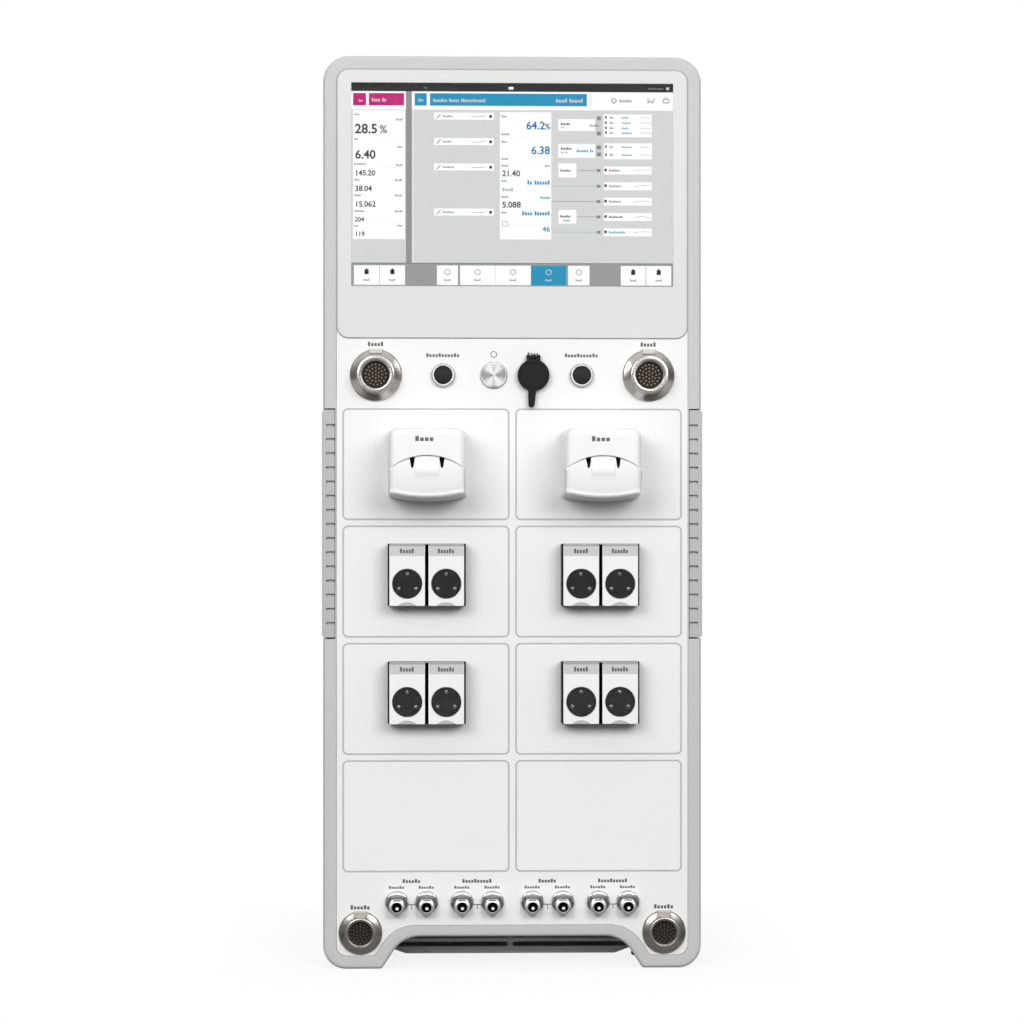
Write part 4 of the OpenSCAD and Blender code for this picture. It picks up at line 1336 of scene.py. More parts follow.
@dataclass
class Sockets:
    """The round sockets on the front, with their contact inserts."""

    face_y: float
    probe: Socket = Socket((124, ROW_Z), flange=23.75, sleeve=17.4, bore=13, out=16, floor=9.5, barrel=24,
                           key_height=4.4, pin=0.85, rings=((0, 1), (3.2, 6), (6.2, 12), (9.2, 17)))
    heater: Socket = Socket((138, 33.2), flange=19.8, sleeve=14.4, bore=11.2, out=10, floor=5.5, barrel=20,
                            key_height=6.0, pin=0.75, rings=((0, 1), (3.3, 6), (6.2, 11), (8.9, 16)))
    temperature_x: float = 63.0
    root: float = 4.1
    shoulder: Pair = (1.0, 2.2)
    edge: float = 1.2
    rebate: float = 0.5
    key_half: float = 6.2
    key_radius: float = 0.8
    key_depths: Pair = (0.5, 4.6)
    insert: tuple[Pair, ...] = ((8.25, 2.5), (8.25, 3.2), (7.9, 3.4), (0, 3.4))
    ring: tuple[Corner, ...] = (
        (8.4, 5, 0.3), (9.7, 5, 0.5), (10.75, 3.4, 0.6), (10.75, 0, 0), (8.9, 0, 0), (8.9, -16, 0),
        (7.9, -16, 0), (7.9, 2.6, 0), (8.4, 2.6, 0))

    def shell(self, surface: Surface, axis: Pair, socket: Socket) -> None:
        """Turns one shell: a conical flange, a sleeve with a rounded lip, and a barrel behind the panel.

        Args:
            surface: The surface to add to.
            axis: The socket's axis.
            socket: Its sizes.
        """
        flange, sleeve, bore, out = socket.flange, socket.sleeve, socket.bore, socket.out
        inner, floor, barrel = bore - self.rebate, socket.floor, -socket.barrel
        surface.turned_outline([
            (bore, out, 0.5), (sleeve, out, 1.2), (sleeve, self.root, 0.4),
            (flange - self.shoulder[0], self.shoulder[1], 0.5), (flange, self.edge, 0.4), (flange, 0, 0),
            (sleeve, 0, 0), (sleeve, barrel, 0), (inner, barrel, 0), (inner, floor, 0), (bore, floor, 0)],
            axis, 96)

    def key(self, surface: Surface, axis: Pair, socket: Socket) -> None:
        """Adds the key at the top of the flange: a plate with rounded corners and a rounded front edge.

        Args:
            surface: The surface to add to.
            axis: The socket's axis.
            socket: Its sizes.
        """
        (x, z), half, radius = axis, self.key_half, self.key_radius
        low, high = z + socket.flange - socket.key_height, z + socket.flange
        corners = ((x - half, low), (x + half, low), (x + half, high), (x - half, high))
        surface.loft(rounded_outline([(*corner, radius) for corner in corners]),
                     edge_levels(radius, *self.key_depths))

    def pins(self, surface: Surface, axis: Pair, socket: Socket) -> None:
        """Adds contact pins with chamfered tips, in rings round the socket's axis.

        Args:
            surface: The surface to add to.
            axis: The socket's axis.
            socket: Its sizes.
        """
        size, floor = socket.pin, socket.floor
        for radius, count in socket.rings:
            for spot in arc(axis, radius, 90, 450, count)[:-1]:
                surface.turned([(size, floor - 0.2), (size, floor + 0.5), (size * 0.6, floor + 0.8)], spot, 8)

    def build(self) -> None:
        """Makes the shells, the keys and the pins, and the temperature sockets' rings and inserts."""
        shells, brown, keys, pins, rings, inserts = (Surface(self.face_y) for _ in range(6))
        for side in (-1, 1):
            for surface, socket in ((shells, self.probe), (brown, self.heater)):
                axis = (side * socket.axis[0], socket.axis[1])
                self.shell(surface, axis, socket)
                self.key(keys, axis, socket)
                self.pins(pins, axis, socket)
            axis = (side * self.temperature_x, ROW_Z)
            inserts.turned(self.insert, axis)
            rings.turned_outline(self.ring, axis, 72)
        shells.piece("socket_shells_turned", NICKEL, slot="nickel", replaces=["socket_shells"])
        brown.piece("heater_shells_turned", BROWN_NICKEL, slot="nickel")
        keys.piece("socket_keys", KEY_NICKEL, slot="nickel")
        pins.piece("socket_pins", GOLD, slot="nickel")
        rings.piece("temperature_rings_turned", RING_STEEL, slot="ring_steel", replaces=["temperature_rings"])
        inserts.piece("temperature_insert_faces", INSERT_PLASTIC, slot="insert_plastic")


@dataclass
class FeedPumps:
    """One of the two flip-top feed pumps: a tapering base and a lid that meets it along an arc.

    Places are counted across and up from a pump's middle, and depths forwards from the panel's face. Lid and
    base are each a stack of rings between a lower and an upper edge, which are functions of the place across
    and the depth, closed by a filled grid at the back and a crowned one in front.
    """

    face_y: float
    side: int
    name: str
    middle: Pair = (78.5, 459.0)
    shift: float = 1.2
    widths: Pair = (72.0, 67.5)
    heights: Pair = (66.0, 59.0)
    front: float = 58.5
    bow: float = 4.3
    sag: float = 1.6
    corner: float = 8.5
    lower_corner: float = 2.5
    lid_arc: Pair = (52.8, 6.0)
    base_arc: Pair = (59.5, 3.3)
    sills: Pair = (-6.2, -7.4)
    chamber: Pair = (17.6, -4.0)
    chamber_front: float = 50.0
    block: float = 11.0
    lid_back: float = 12.0
    hinge: Corner = (16.5, 27.0, 4.4)
    knuckle: Corner = (12.4, 21.5, 21.0)
    knuckle_radius: float = 4.0
    notch: tuple[float, float, float, float] = (13.2, 1.1, 2.2, -4.4)
    notch_top: float = 2.0
    tongue: tuple[float, float, float, float] = (11.0, 3.0, -9.0, -14.0)
    tongue_out: float = 0.9
    tongue_edge: float = 0.8
    edge: float = 5.0
    lip: float = 1.0
    arc_lip: float = 0.35
    side_drop: float = 2.0
    lean: Corner = (3.2, -5.0, 25.0)
    bead: Corner = (0.6, 1.5, 2.0)
    even: float = 24.0
    groove: Pair = (55.0, 0.25)
    step: float = 0.01

    def half(self, depth: np.ndarray) -> np.ndarray:
        """Half the width at a depth."""
        return (self.widths[0] + (self.widths[1] - self.widths[0]) * depth / self.front) / 2

    def tall(self, depth: np.ndarray) -> np.ndarray:
        """Half the height at a depth."""
        return (self.heights[0] + (self.heights[1] - self.heights[0]) * depth / self.front) / 2

    def top(self, x: np.ndarray, depth: np.ndarray) -> np.ndarray:
        """The outline's upper edge: flat, with a quarter circle at each corner."""
        over = np.clip(np.abs(x) - self.half(depth) + self.corner, 0, self.corner)
        return self.tall(depth) - self.corner + np.sqrt(self.corner**2 - over**2)

    def bottom(self, x: np.ndarray, depth: np.ndarray) -> np.ndarray:
        """Works out the outline's lower edge: a parabola that bows down, with rounded corners.

        Args:
            x: Places across.
            depth: Their depth.

        Returns:
            Its height.
        """
        over = np.clip(np.abs(x) - self.half(depth) + self.lower_corner, 0, self.lower_corner)
        rise = self.lower_corner - np.sqrt(self.lower_corner**2 - over**2)
        return self.bow * (x / self.half(depth)) ** 2 - self.tall(depth) - self.sag + rise

    def arch(self, x: np.ndarray, arc_of: Pair) -> np.ndarray:
        """Height of an arc given by its radius and its peak."""
        radius, peak = arc_of
        return peak - radius + np.sqrt(radius**2 - x**2)

    def lid_lower(self, x: np.ndarray, depth: np.ndarray) -> np.ndarray:
        """Works out the lid's lower edge: its arc, or the rotor chamber's upper half where that is higher.

        Args:
            x: Places across.
            depth: Their depth.

        Returns:
            Its height.
        """
        low = np.maximum(self.arch(x, self.lid_arc), self.sills[0])
        radius, height = self.chamber
        hollow = height + np.sqrt(np.maximum(radius**2 - x**2, 0))
        return np.where((np.abs(x) < radius) & (depth < self.chamber_front), np.maximum(low, hollow), low)

    def lid_upper(self, x: np.ndarray, depth: np.ndarray) -> np.ndarray:
        """Works out the lid's upper edge: the outline, rounded about the hinge and cut out for the knuckle.

        Args:
            x: Places across.
            depth: Their depth.

        Returns:
            Its height.
        """
        high = self.top(x, depth)
        out, height, radius = self.hinge
        behind = np.clip(out - depth, 0, radius)
        high = np.where(depth < out, np.minimum(high, height + np.sqrt(radius**2 - behind**2)), high)
        wide, deep, floor = self.knuckle
        return np.where((np.abs(x) < wide) & (depth < deep), np.minimum(high, floor), high)

    def base_upper(self, x: np.ndarray, depth: np.ndarray) -> np.ndarray:
        """Works out the base's upper edge: the outline at the back, then an arc with the chamber and notches.

        Behind the groove's depth the arc lies close under the lid's, so that the groove has a floor.

        Args:
            x: Places across.
            depth: Their depth.

        Returns:
            Its height.
        """
        deep, gap = self.groove
        low = np.maximum(self.arch(x, self.base_arc), self.sills[1])
        filled = np.maximum(self.arch(x, self.lid_arc), self.sills[0]) - gap
        low = np.where(depth < deep, filled, low)
        radius, height = self.chamber
        hollow = height - np.sqrt(np.maximum(radius**2 - x**2, 0))
        place, narrow, wide, foot = self.notch
        off = np.abs(np.abs(x) - place)
        slope = foot + (off - narrow) * (self.notch_top - foot) / (wide - narrow)
        slot = np.where(off < narrow, foot - np.sqrt(np.maximum(narrow**2 - off**2, 0)), slope)
        notched = np.where(off < wide, np.minimum(low, slot), low)
        inside = np.where(np.abs(x) < radius, hollow, low)
        ahead = np.where(depth < self.chamber_front, inside, notched)
        return np.where(depth < self.block, self.top(x, depth), ahead)

    def rounding(self, distance: np.ndarray, radius: float) -> np.ndarray:
        """How far a quarter-round edge drops at a distance from it."""
        near = radius - np.clip(distance, 0, radius)
        return radius - np.sqrt(radius**2 - near**2)

    def from_outline(self, x: np.ndarray, z: np.ndarray) -> np.ndarray:
        """Measures the distance inwards from the front outline's sides and top, round its corners.

        Args:
            x: Places across.
            z: Places up.

        Returns:
            The distance.
        """
        across = np.abs(x) - self.half(self.front) + self.corner
        up = z - self.tall(self.front) + self.corner
        beyond = np.hypot(np.maximum(across, 0), np.maximum(up, 0))
        return self.corner - beyond - np.minimum(np.maximum(across, up), 0)

    def crown(self, x: np.ndarray) -> np.ndarray:
        """How far the front falls back towards its sides: the fourth power of the share of half the width."""
        return self.side_drop * (x / self.half(self.front)) ** 4

    def lid_front(self, x: np.ndarray, z: np.ndarray) -> np.ndarray:
        """Works out the lid's front: crowned, with soft outer edges and a tighter one along the arc.

        Args:
            x: Places across.
            z: Places up.

        Returns:
            Its depth.
        """
        radius, peak = self.lid_arc
        above = np.hypot(x, z - peak + radius) - radius
        drop = np.maximum(self.rounding(self.from_outline(x, z), self.edge),
                          self.rounding(above, self.arc_lip))
        return self.front - self.crown(x) - drop

    def base_front(self, x: np.ndarray, z: np.ndarray) -> np.ndarray:
        """Works out the base's front: crowned and falling back downwards, with a wedge-shaped tongue.

        A bead stands along its lower edge.

        Args:
            x: Places across.
            z: Places up.

        Returns:
            Its depth.
        """
        radius, peak = self.base_arc
        below = radius - np.hypot(x, z - peak + radius)
        over_bottom = z - self.bottom(x, self.front)
        drop = np.maximum.reduce([self.rounding(self.from_outline(x, z), self.edge),
                                  self.rounding(below, self.arc_lip), self.rounding(over_bottom, self.lip)])
        fall, start, span = self.lean
        lean = fall * (np.clip(start - z, 0, None) / span) ** 2
        wide, head, ridge, foot = self.tongue
        swell = smoothstep((head - z) / (head - ridge)) * (1 - smoothstep((ridge - z) / (ridge - foot)))
        tongue = self.tongue_out * swell * np.clip((wide - np.abs(x)) / self.tongue_edge, 0, 1)
        rise, near, fade = self.bead
        bead = rise * (1 - smoothstep((over_bottom - near) / fade))
        crown = self.crown(x) * np.where(z < 0, 0.5, 1)
        return self.front - crown - drop - lean + tongue + bead

    def columns(self, marks: Sequence[float]) -> np.ndarray:
        """Chooses the places across: even in the middle and closer together at the sides.

        Args:
            marks: Places to add, on the right.

        Returns:
            The places, from left to right.
        """
        turns = np.radians(np.linspace(0, 90, 13)[1:])
        outer = self.even + (self.half(self.front) - self.even) * np.sin(turns)
        right = np.unique(np.concatenate([np.linspace(0, self.even, 17), outer, np.array(marks)]))
        return np.concatenate([-right[:0:-1], right])

    def widened(self, x: np.ndarray, depth: float) -> np.ndarray:
        """Spreads out the places across that lie beyond the even ones, with the width at a depth.

        Args:
            x: Places across at the front.
            depth: The depth.

        Returns:
            Places across at the depth.
        """
        share = (self.half(depth) - self.even) / (self.half(self.front) - self.even)
        beyond = np.maximum(np.abs(x) - self.even, 0)
        return np.where(beyond > 0, np.sign(x) * (self.even + beyond * share), x)

    def solid(self, surface: Surface, x: np.ndarray, depths: Sequence[float], lower: Edge, upper: Edge,
              front: Edge, rows: int = 30) -> None:
        """Adds a solid between its lower and upper edges.

        The rows stand closer together near the edges, at half of one less the cosine of even steps.

        Args:
            surface: The surface to add to.
            x: The places across.
            depths: Depth of each ring, from the back; the front follows them.
            lower: Lower edge by place across and depth.
            upper: Upper edge by place across and depth.
            front: Depth of the front by place across and up.
            rows: Rows between the two edges.
        """
        share = (1 - np.cos(np.linspace(0, math.pi, rows + 1)))[:, None] / 2

        def sheet(depth: float) -> tuple[np.ndarray, np.ndarray]:
            """Lays the grid of places at a depth.

            Args:
                depth: The depth.

            Returns:
                The places across and up.
            """
            across = self.widened(x, depth)
            low, high = lower(across, np.float64(depth)), upper(across, np.float64(depth))
            return np.broadcast_to(across, (rows + 1, len(x))), low + (high - low) * share

        sheets = [(*sheet(depth), np.full((rows + 1, len(x)), float(depth))) for depth in depths]
        across, up = sheet(self.front)
        sheets.append((across, up, front(across, up)))
        grids = [self.placed(*each) for each in sheets]
        index = np.arange((rows + 1) * len(x)).reshape(rows + 1, len(x))
        border = np.concatenate([index[0], index[1:, -1], index[-1, -2::-1], index[-2:0:-1, 0]])
        surface.grid(np.array([grid.reshape(-1, 3)[border] for grid in grids]))
        quads = np.stack([index[:-1, :-1], index[:-1, 1:], index[1:, 1:], index[1:, :-1]], axis=-1)
        for grid in (grids[0], grids[-1]):
            surface.add(grid.reshape(-1, 3), quads.reshape(-1, 4).tolist())

    def placed(self, across: np.ndarray, up: np.ndarray, depth: np.ndarray) -> np.ndarray:
        """Points in space from places across and up and depths."""
        x, z = self.side * self.middle[0] + self.shift, self.middle[1]
        return np.stack([across + x, self.face_y - depth, up + z], axis=-1)

    def bar(self, surface: Surface, outline: np.ndarray, half: float) -> None:
        """Adds a bar along X from an outline in depth and height."""
        ends = [self.placed(np.full(len(outline), x), outline[:, 1], outline[:, 0]) for x in (-half, half)]
        surface.grid(np.array(ends), True, True)

    def build(self) -> None:
        """Makes the lid and the base with its hinge knuckle."""
        tight = self.step
        out, height, radius = self.hinge
        wide, deep, _ = self.knuckle
        place, narrow, broad, _ = self.notch
        lid = Surface(self.face_y)
        arcs = out - radius * np.cos(np.radians(np.linspace(0, 90, 7)))
        x = self.columns([wide - tight, wide + tight, self.chamber[0] - tight, self.chamber[0]])
        self.solid(lid, x, [self.lid_back + 0.1, *arcs[1:-1], out - tight, out + tight, deep - tight,
                            deep + tight, self.chamber_front - tight, self.chamber_front + tight],
                   self.lid_lower, self.lid_upper, self.lid_front)
        body = f"feed_lid_{self.name}"
        lid.piece(f"{body}_rounded", PUMP_PLASTIC, body, "pump_plastic", [body])
        base = Surface(self.face_y)
        marks = [place + way * off for way in (-1, 1) for off in (0, narrow / 2, narrow, broad - 0.5, broad)]
        chamber = self.chamber[0] * np.sin(np.radians([70, 80, 86, 90]))
        x = self.columns([*marks, place - broad - tight, place + broad + tight, *chamber, chamber[-1] - tight,
                          self.tongue[0] - self.tongue_edge, self.tongue[0] - self.tongue_edge / 2])
        self.solid(base, x, [0, self.block - tight, self.block + tight, self.chamber_front - tight,
                             self.chamber_front + tight, self.groove[0] - tight, self.groove[0] + tight],
                   self.bottom, self.base_upper, self.base_front)
        knuckle = np.concatenate([[(self.block, height + self.knuckle_radius)],
                                  arc((out, height), self.knuckle_radius, 90, -90, 16),
                                  [(self.block, height - self.knuckle_radius)]])
        self.bar(base, knuckle, wide - 0.4)
        base.piece(f"feed_base_{self.name}_rounded", PUMP_PLASTIC, slot="pump_plastic",
                   replaces=[f"feed_base_{self.name}"])


@dataclass
class Prints:
    """The front's printed marks: blocks and lines that stand in for words."""

    face_y: float
    film: float = 0.06
    probe: tuple[float, ...] = (124, 566.0, 14.6, 3.9)
    temperature: tuple[float, ...] = (63, 556.2, 30.6, 3.4)
    heater: tuple[float, ...] = (138, 54.4, 18.0, 3.9)
    data_port: tuple[float, ...] = (19, 558.0, 10.6, 2.6)
    lamp: Corner = (-17, 558.6, 3.0)
    lamp_line: float = 0.7
    lid: tuple[float, ...] = (78.5, 477.4, 17.0, 4.5)
    lid_shift: float = -0.7
    lid_front: float = 58.5
    pairs: tuple[tuple[float, int], ...] = ((16.5, 6), (27, 10), (16.5, 6), (27, 10))
    pair_rows: tuple[Pair, Pair] = ((78.4, 3.4), (73.0, 2.6))
    coupling: tuple[float, int] = (14.2, 6)
    link: Corner = (58.2, 59.0, 10.6)
    tick: Pair = (54.2, 0.4)

    def line_of(self, surface: Surface, place: Sequence[float], count: int, base: float = 0.0) -> None:
        """Adds a word of blocks on a face at a depth, by its middle, foot, width and height."""
        x, z, width, height = place
        letters(surface, x, z, height, [count], base - self.film, base + self.film, width=width)

    def build(self) -> None:
        """Prints the panel and the feed pumps' lids."""
        panel, film = Surface(self.face_y), self.film
        for side in (-1, 1):
            for (x, *place), count in ((self.probe, 5), (self.temperature, 11), (self.heater, 6)):
                self.line_of(panel, (side * x, *place), count)
        self.line_of(panel, self.data_port, 4)
        x, z, radius = self.lamp
        line = self.lamp_line
        panel.band(circle(radius, 40, (x, z)), [(0, film), (line, film), (line, -film), (0, -film)])
        for low, high, (width, count) in zip(COUPLING_PLACES[::2], COUPLING_PLACES[1::2], self.pairs):
            self.pair(panel, low, high, width, count)
        panel.piece("panel_print", PRINT, slot="insert_plastic")
        for side, name in SIDES:
            lid, (x, *place) = Surface(self.face_y), self.lid
            self.line_of(lid, (side * x + self.lid_shift, *place), 4, self.lid_front)
            lid.piece(f"feed_print_{name}", PRINT, f"feed_lid_{name}", "insert_plastic")

    def pair(self, surface: Surface, low: float, high: float, width: float, count: int) -> None:
        """Prints what stands over two couplings, and the line that links them.

        Args:
            surface: The surface to add to.
            low: The left coupling's place.
            high: The right coupling's place.
            width: Width of the word over both.
            count: Number of its blocks.
        """
        middle = (low + high) / 2
        (upper, tall), (lower, small) = self.pair_rows
        self.line_of(surface, (middle, upper, width, tall), count)
        for x in (low, high):
            self.line_of(surface, (x, lower, self.coupling[0], small), self.coupling[1])
        (foot, head, inset_by), (tick_foot, half) = self.link, self.tick
        surface.slabs([(low + inset_by, foot, high - inset_by, head),
                       (middle - half, tick_foot, middle + half, foot)], -self.film, self.film)


@dataclass
class TwinPumps:
    """What the four twin pumps show beside their dark bodies and white faces.

    Heights count from a pump's middle.
    """

    face_y: float
    shift: float = 0.7
    head_x: float = 17.6
    head_z: float = -1.7
    half: float = 16.0
    top: float = 33.7
    bottom: float = -21.6
    front: float = 22.0
    shade: Corner = (0.05, 16.0, 16.15)
    roof: Corner = (0.02, 0.9, 15.0)
    band_feet: Pair = (23.4, 32.2)
    band_margins: Pair = (0.4, 0.1)
    film: float = 0.06
    word_foot: float = 25.8
    word_height: float = 4.2
    words: tuple[tuple[int, float], ...] = ((5, 13.2), (6, 15.2))
    scoop: Corner = (12.85, 29.6, 21.6)
    rim: Corner = (12.3, 13.35, 20.7)
    thin: float = 0.1
    pin_ring: float = 9.0
    pin: Corner = (2.0, 15.5, 0.9)

    def slab(self, surface: Surface, x: float, half: float, heights: Pair, depths: Pair) -> None:
        """Adds a box about x between two heights and two depths."""
        surface.slabs([(x - half, heights[0], x + half, heights[1])], *depths)

    def scoop_floor(self, surface: Surface, x: float, z: float) -> None:
        """Adds the floor of the scoop below a window: the cap of a circle above the face's lower edge,
        coloured grey as painted shade of the recess.

        Args:
            surface: The surface to add to.
            x: The window's axis across.
            z: Its height.
        """
        radius, drop, depth = self.scoop
        start = math.degrees(math.asin((self.bottom - self.head_z + drop) / radius))
        outline = arc((x, z - drop), radius, start, 180 - start, 24)
        surface.loft(outline, [(0, depth - self.thin), (0, depth)])

    def build(self) -> None:
        """Makes the bands, their print, the gap's shade, the scoop floors, the window rims and the pins. The
        bands' upper strips, the roof strip, the gap and the scoop floors are painted shade.
        """
        bands, edges, words, gaps, scoops, rims = (Surface(self.face_y) for _ in range(6))
        film, number = self.film, 0
        near, far, depth = self.rim
        side_margin, top_margin = self.band_margins
        under, levels = depth - self.thin, (*self.band_feet, self.top - top_margin)
        for z, side in product(BAY_ROWS[1:3], (-1, 1)):
            middle = side * BAY_PITCH / 2 + self.shift
            # The strip over the heads' tops is coloured as painted shade of their top edge.
            low, high, back = self.roof
            self.slab(edges, middle, self.head_x + self.half, (z + self.top + low, z + self.top + high),
                      (back, self.front))
            # A near-black slab of painted shade fills the gap between the two heads.
            narrow, back, front = self.shade
            self.slab(gaps, middle, self.head_x - self.half - narrow, (z + self.bottom, z + self.top),
                      (back, front))
            for head, (count, width) in zip((-1, 1), self.words):
                x, number = middle + head * self.head_x, number + 1
                # Each band's upper strip, in edges, is painted shade of the face's shaded top edge.
                for surface, foot, top in zip((bands, edges), levels, levels[1:]):
                    self.slab(surface, x, self.half - side_margin, (z + foot, z + top),
                              (self.front - self.thin, self.front + film / 2))
                letters(words, x, z + self.word_foot, self.word_height, [count], self.front - film,
                        self.front + film, width=width)
                axis = (x, z + self.head_z)
                self.scoop_floor(scoops, *axis)
                rims.turned([(near, under), (near, depth), (far, depth), (far, under)], axis, closed=True)
                self.pins(axis, number)
        bands.piece("head_bands", BAND_GREY, slot="grip_plastic")
        edges.piece("head_band_shade_edges", EDGE_SHADE, slot="grip_plastic")
        words.piece("head_print", PRINT, slot="insert_plastic")
        gaps.piece("head_gap_shade", SHADE_BLACK, slot="insert_plastic")
        scoops.piece("head_scoop_shade", SCOOP_SHADE, slot="grip_plastic")
        rims.piece("window_rims", BLACK_PLASTIC, slot="black_plastic")

    def pins(self, axis: Pair, number: int) -> None:
        """Adds the domed ends of a rotor's three roller pins: quarter ellipses turned about their axes.

        Args:
            axis: The rotor's axis in X and Z.
            number: The rotor's number, from 1.
        """
        pins = Surface(self.face_y)
        radius, out, rise = self.pin
        angle = np.radians([0, 30, 60, 90])
        dome = np.stack([radius * np.cos(angle), out + rise * np.sin(angle)], axis=1)
        for spot in arc(axis, self.pin_ring, 90, 450, 3)[:-1]:
            pins.turned(dome.tolist(), spot, 16)
        pins.piece(f"roller_pins_{number}", PIN_STEEL, f"twin_rotor_{number}", "zinc_steel")


@dataclass
class BasePan:
    """The folded lips over the base pan's slots."""

    face_y: float
    depths: Pair = (-80.0, -60.0)
    ends: Pair = (2.6, 111.0)
    heights: Pair = (18.0, 19.8)

    def build(self) -> None:
        """Makes the lips on both sides of the middle."""
        lips = Surface(self.face_y)
        (near, far), (low, high) = self.ends, self.heights
        lips.slabs([(-far, low, -near, high), (near, low, far, high)], *self.depths)
        lips.piece("pan_lips", PAN_PAINT, slot="pan_paint")


@dataclass
class ConnectorRow:
    """The power button in its ring, and what the data port's cap shows."""

    face_y: float
    button_x: float = -17.0
    data_x: float = 19.0
    ring: tuple[Corner, ...] = (
        (10, 2.2, 0), (11.6, 2.2, 0.5), (12.3, 1.3, 0.4), (12.3, 0, 0), (10.75, 0, 0), (10.75, -22, 0),
        (8, -22, 0), (8, -6, 0), (10, -6, 0))
    button: tuple[Pair, ...] = ((0, -20), (3, -20), (3, -2.4), (9.95, -2.4), (9.95, 2.15))
    button_face: float = 2.3
    face_rings: tuple[float, ...] = (9.8, 8, 6, 4, 2, 1, 0)
    bead: tuple[float, float, float, float] = (11.5, 0.45, 6.2, 0.35)
    bead_foot: float = 6.0
    tab: tuple[Pair, ...] = ((-3.9, -27), (0.2, -27), (0.9, -15), (-3.6, -15))
    tab_radius: float = 0.8
    tab_levels: tuple[Pair, ...] = ((0, 6.0), (0, 6.5), (0.3, 6.7))

    def build(self) -> None:
        """Makes the spun ring and button, and the bead and the ridge of the cap."""
        ring, button, cap = (Surface(self.face_y) for _ in range(3))
        middle, axis = (self.button_x, ROW_Z), (self.data_x, ROW_Z)
        ring.turned_outline(self.ring, middle, 96)
        ring.piece("button_ring_turned", SPUN_STEEL, slot="ring_steel", replaces=["button_ring"])
        button.turned([*self.button, *((radius, self.button_face) for radius in self.face_rings)], middle, 96)
        button.piece("power_button_turned", SPUN_STEEL, "power_button", "ring_steel", ["power_button"])
        radius, half, out, rise = self.bead
        angle = np.radians(np.linspace(0, 180, 5))
        bead = np.stack([radius + half * np.cos(angle), out + rise * np.sin(angle)], axis=1).tolist()
        feet = [(radius + way * half, self.bead_foot) for way in (-1, 1)]
        cap.turned([*bead, *feet], axis, 72, closed=True)
        tab = [(self.data_x + x, ROW_Z + z, self.tab_radius) for x, z in self.tab]
        cap.loft(rounded_outline(tab, 6), self.tab_levels)
        cap.piece("cap_bead", CAP_RUBBER, "usb_cap", "cap_rubber")


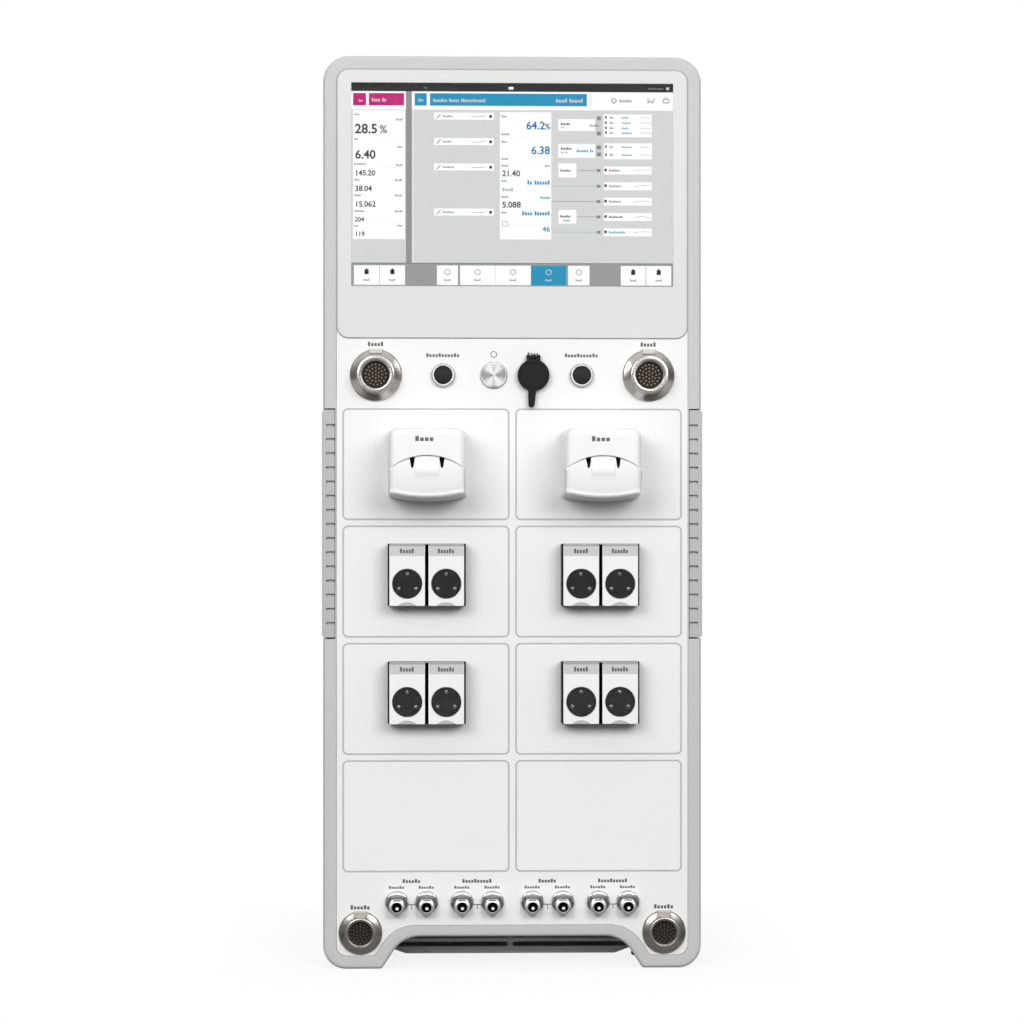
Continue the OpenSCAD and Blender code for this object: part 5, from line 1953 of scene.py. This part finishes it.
@dataclass
class Couplings:
    """The eight hose couplings: a rounded egg-shaped collar, a flat-topped sleeve and a valve pin.

    The collar's circles are given by radius and height over the coupling's axis.
    """

    face_y: float
    height: float = 57.2
    big: Pair = (10.8, 3.6)
    small: Pair = (4.8, -4.8)
    collar: float = 4.0
    collar_edge: float = 1.8
    sleeve: Corner = (7.0, 3.0, 12.0)
    flat: float = 5.9
    flare: tuple[Pair, ...] = ((0, 0.9), (0.3, 0.3), (0.9, 0))
    bore: Pair = (4.5, 3.0)
    bore_edge: float = 0.5
    barrel: Pair = (6.0, -22.0)
    # Gap, setback and eye of the near-black painted shade inside each bore
    shaded_bore: Corner = (0.05, 1.2, 1.0)
    pin: tuple[Pair, ...] = ((2.8, 2.0), (2.1, 1.3), (0, 1.0))
    pin_shift: Pair = (0.3, -1.0)
    pad: Corner = (6.2, 8.5, 10.4)
    pad_edge: float = 1.6
    pad_depths: Pair = (4.3, 12.0)
    tongue: tuple[Pair, Pair] = ((2.0, 13.0), (2.9, 4.5))

    def egg(self, x: float) -> np.ndarray:
        """Draws the collar's outline: two circles, one above the other, joined along their common tangents.

        Args:
            x: The coupling's place across.

        Returns:
            The outline's points.
        """
        (big, above), (small, below) = self.big, self.small
        lean = math.degrees(math.asin((big - small) / (above - below)))
        upper = arc((x, self.height + above), big, -lean, 180 + lean, 56)
        lower = arc((x, self.height + below), small, 180 + lean, 360 - lean, 16)
        return np.concatenate([upper, lower])

    def ring(self, x: float, radius: float, depth: float, flat: float) -> np.ndarray:
        """Lays one ring of the sleeve: a circle cut straight across its top.

        The radius at an angle is the circle's, or less where the cut is nearer: the cut's height over the
        sine of the angle.

        Args:
            x: The coupling's place across.
            radius: The circle's radius.
            depth: The ring's depth.
            flat: The cut's height over the axis, infinite if there is none.

        Returns:
            The ring's points in space.
        """
        angle = np.radians(np.linspace(0, 360, 96, endpoint=False))
        reach = np.minimum(radius, flat / np.maximum(np.sin(angle), 1e-3))
        return np.stack([x + reach * np.cos(angle), np.full(len(angle), self.face_y - depth),
                         self.height + reach * np.sin(angle)], axis=1)

    def build(self) -> None:
        """Makes the metal bodies, the near-black painted shade inside their bores, the pins and the latches.
        """
        metal, collars, shaded_bore, pins = (Surface(self.face_y) for _ in range(4))
        (radius, root, out), (bore, floor) = self.sleeve, self.bore
        outside = [(radius, root, self.flat)]
        outside += [(radius - less, out - back, self.flat - less) for less, back in self.flare]
        inside = [(bore + self.bore_edge, out, math.inf), (bore, out - self.bore_edge, math.inf),
                  (bore, floor, math.inf)]
        gap, back, eye = self.shaded_bore
        for x in COUPLING_PLACES:
            axis = (x, self.height)
            collars.loft(self.egg(x), edge_levels(self.collar_edge, 0, self.collar))
            metal.grid(np.array([self.ring(x, *values) for values in (*outside, *inside)]))
            metal.turned([(self.barrel[0], 0), self.barrel], axis, 32)
            shaded_bore.turned([(bore - gap, out - back), (bore - gap, floor), (eye, floor)], axis, 40)
            pins.turned([(self.pin[0][0], floor), *((size, out - down) for size, down in self.pin)],
                        np.add(axis, self.pin_shift), 24)
        metal.piece("coupling_bodies_rounded", SATIN_CHROME, slot="coupling_chrome",
                    replaces=["coupling_bodies"])
        collars.piece("coupling_collars", CHROME, slot="coupling_chrome")
        shaded_bore.piece("coupling_bore_shade", SHADE_BLACK, slot="insert_plastic")
        pins.piece("coupling_pins", PUMP_PLASTIC, slot="pump_plastic")
        for number, x in enumerate(COUPLING_PLACES, 1):
            self.latch(x, number)

    def latch(self, x: float, number: int) -> None:
        """Makes one thumb latch: a pad with a domed top edge that stands on the collar, and its tongue.

        Args:
            x: The coupling's place across.
            number: The latch's number, from 1.
        """
        (across, foot, reach), ((half, head), depths) = self.pad, self.tongue
        start = math.degrees(math.acos(across / reach))
        top = arc((x, self.height + self.big[1]), reach, start, 180 - start, 20)
        feet = np.array([(x - across, self.height + foot), (x + across, self.height + foot)])
        pad = Surface(self.face_y)
        pad.loft(np.concatenate([top, feet]), edge_levels(self.pad_edge, *self.pad_depths))
        pad.slabs([(x - half, self.height + foot, x + half, self.height + head)], *depths)
        body = f"coupling_latch_{number}"
        pad.piece(f"{body}_rounded", SATIN_CHROME, body, "coupling_chrome", [body])


def main() -> None:
    """Builds the room and the tower."""
    logging.basicConfig(level=logging.INFO, format="%(name)s: %(message)s")
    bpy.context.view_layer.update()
    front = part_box("front_panel")[0].y
    face_y = front / MM
    Studio(front).build()
    Carried().dress()
    FrontFrame(face_y).build()
    Seams(face_y).build()
    Screen(face_y).build()
    Sockets(face_y).build()
    for side, name in SIDES:
        FeedPumps(face_y, side, name).build()
    BasePan(face_y).build()
    TwinPumps(face_y).build()
    ConnectorRow(face_y).build()
    Couplings(face_y).build()
    Prints(face_y).build()


if __name__ == "__main__":
    main()
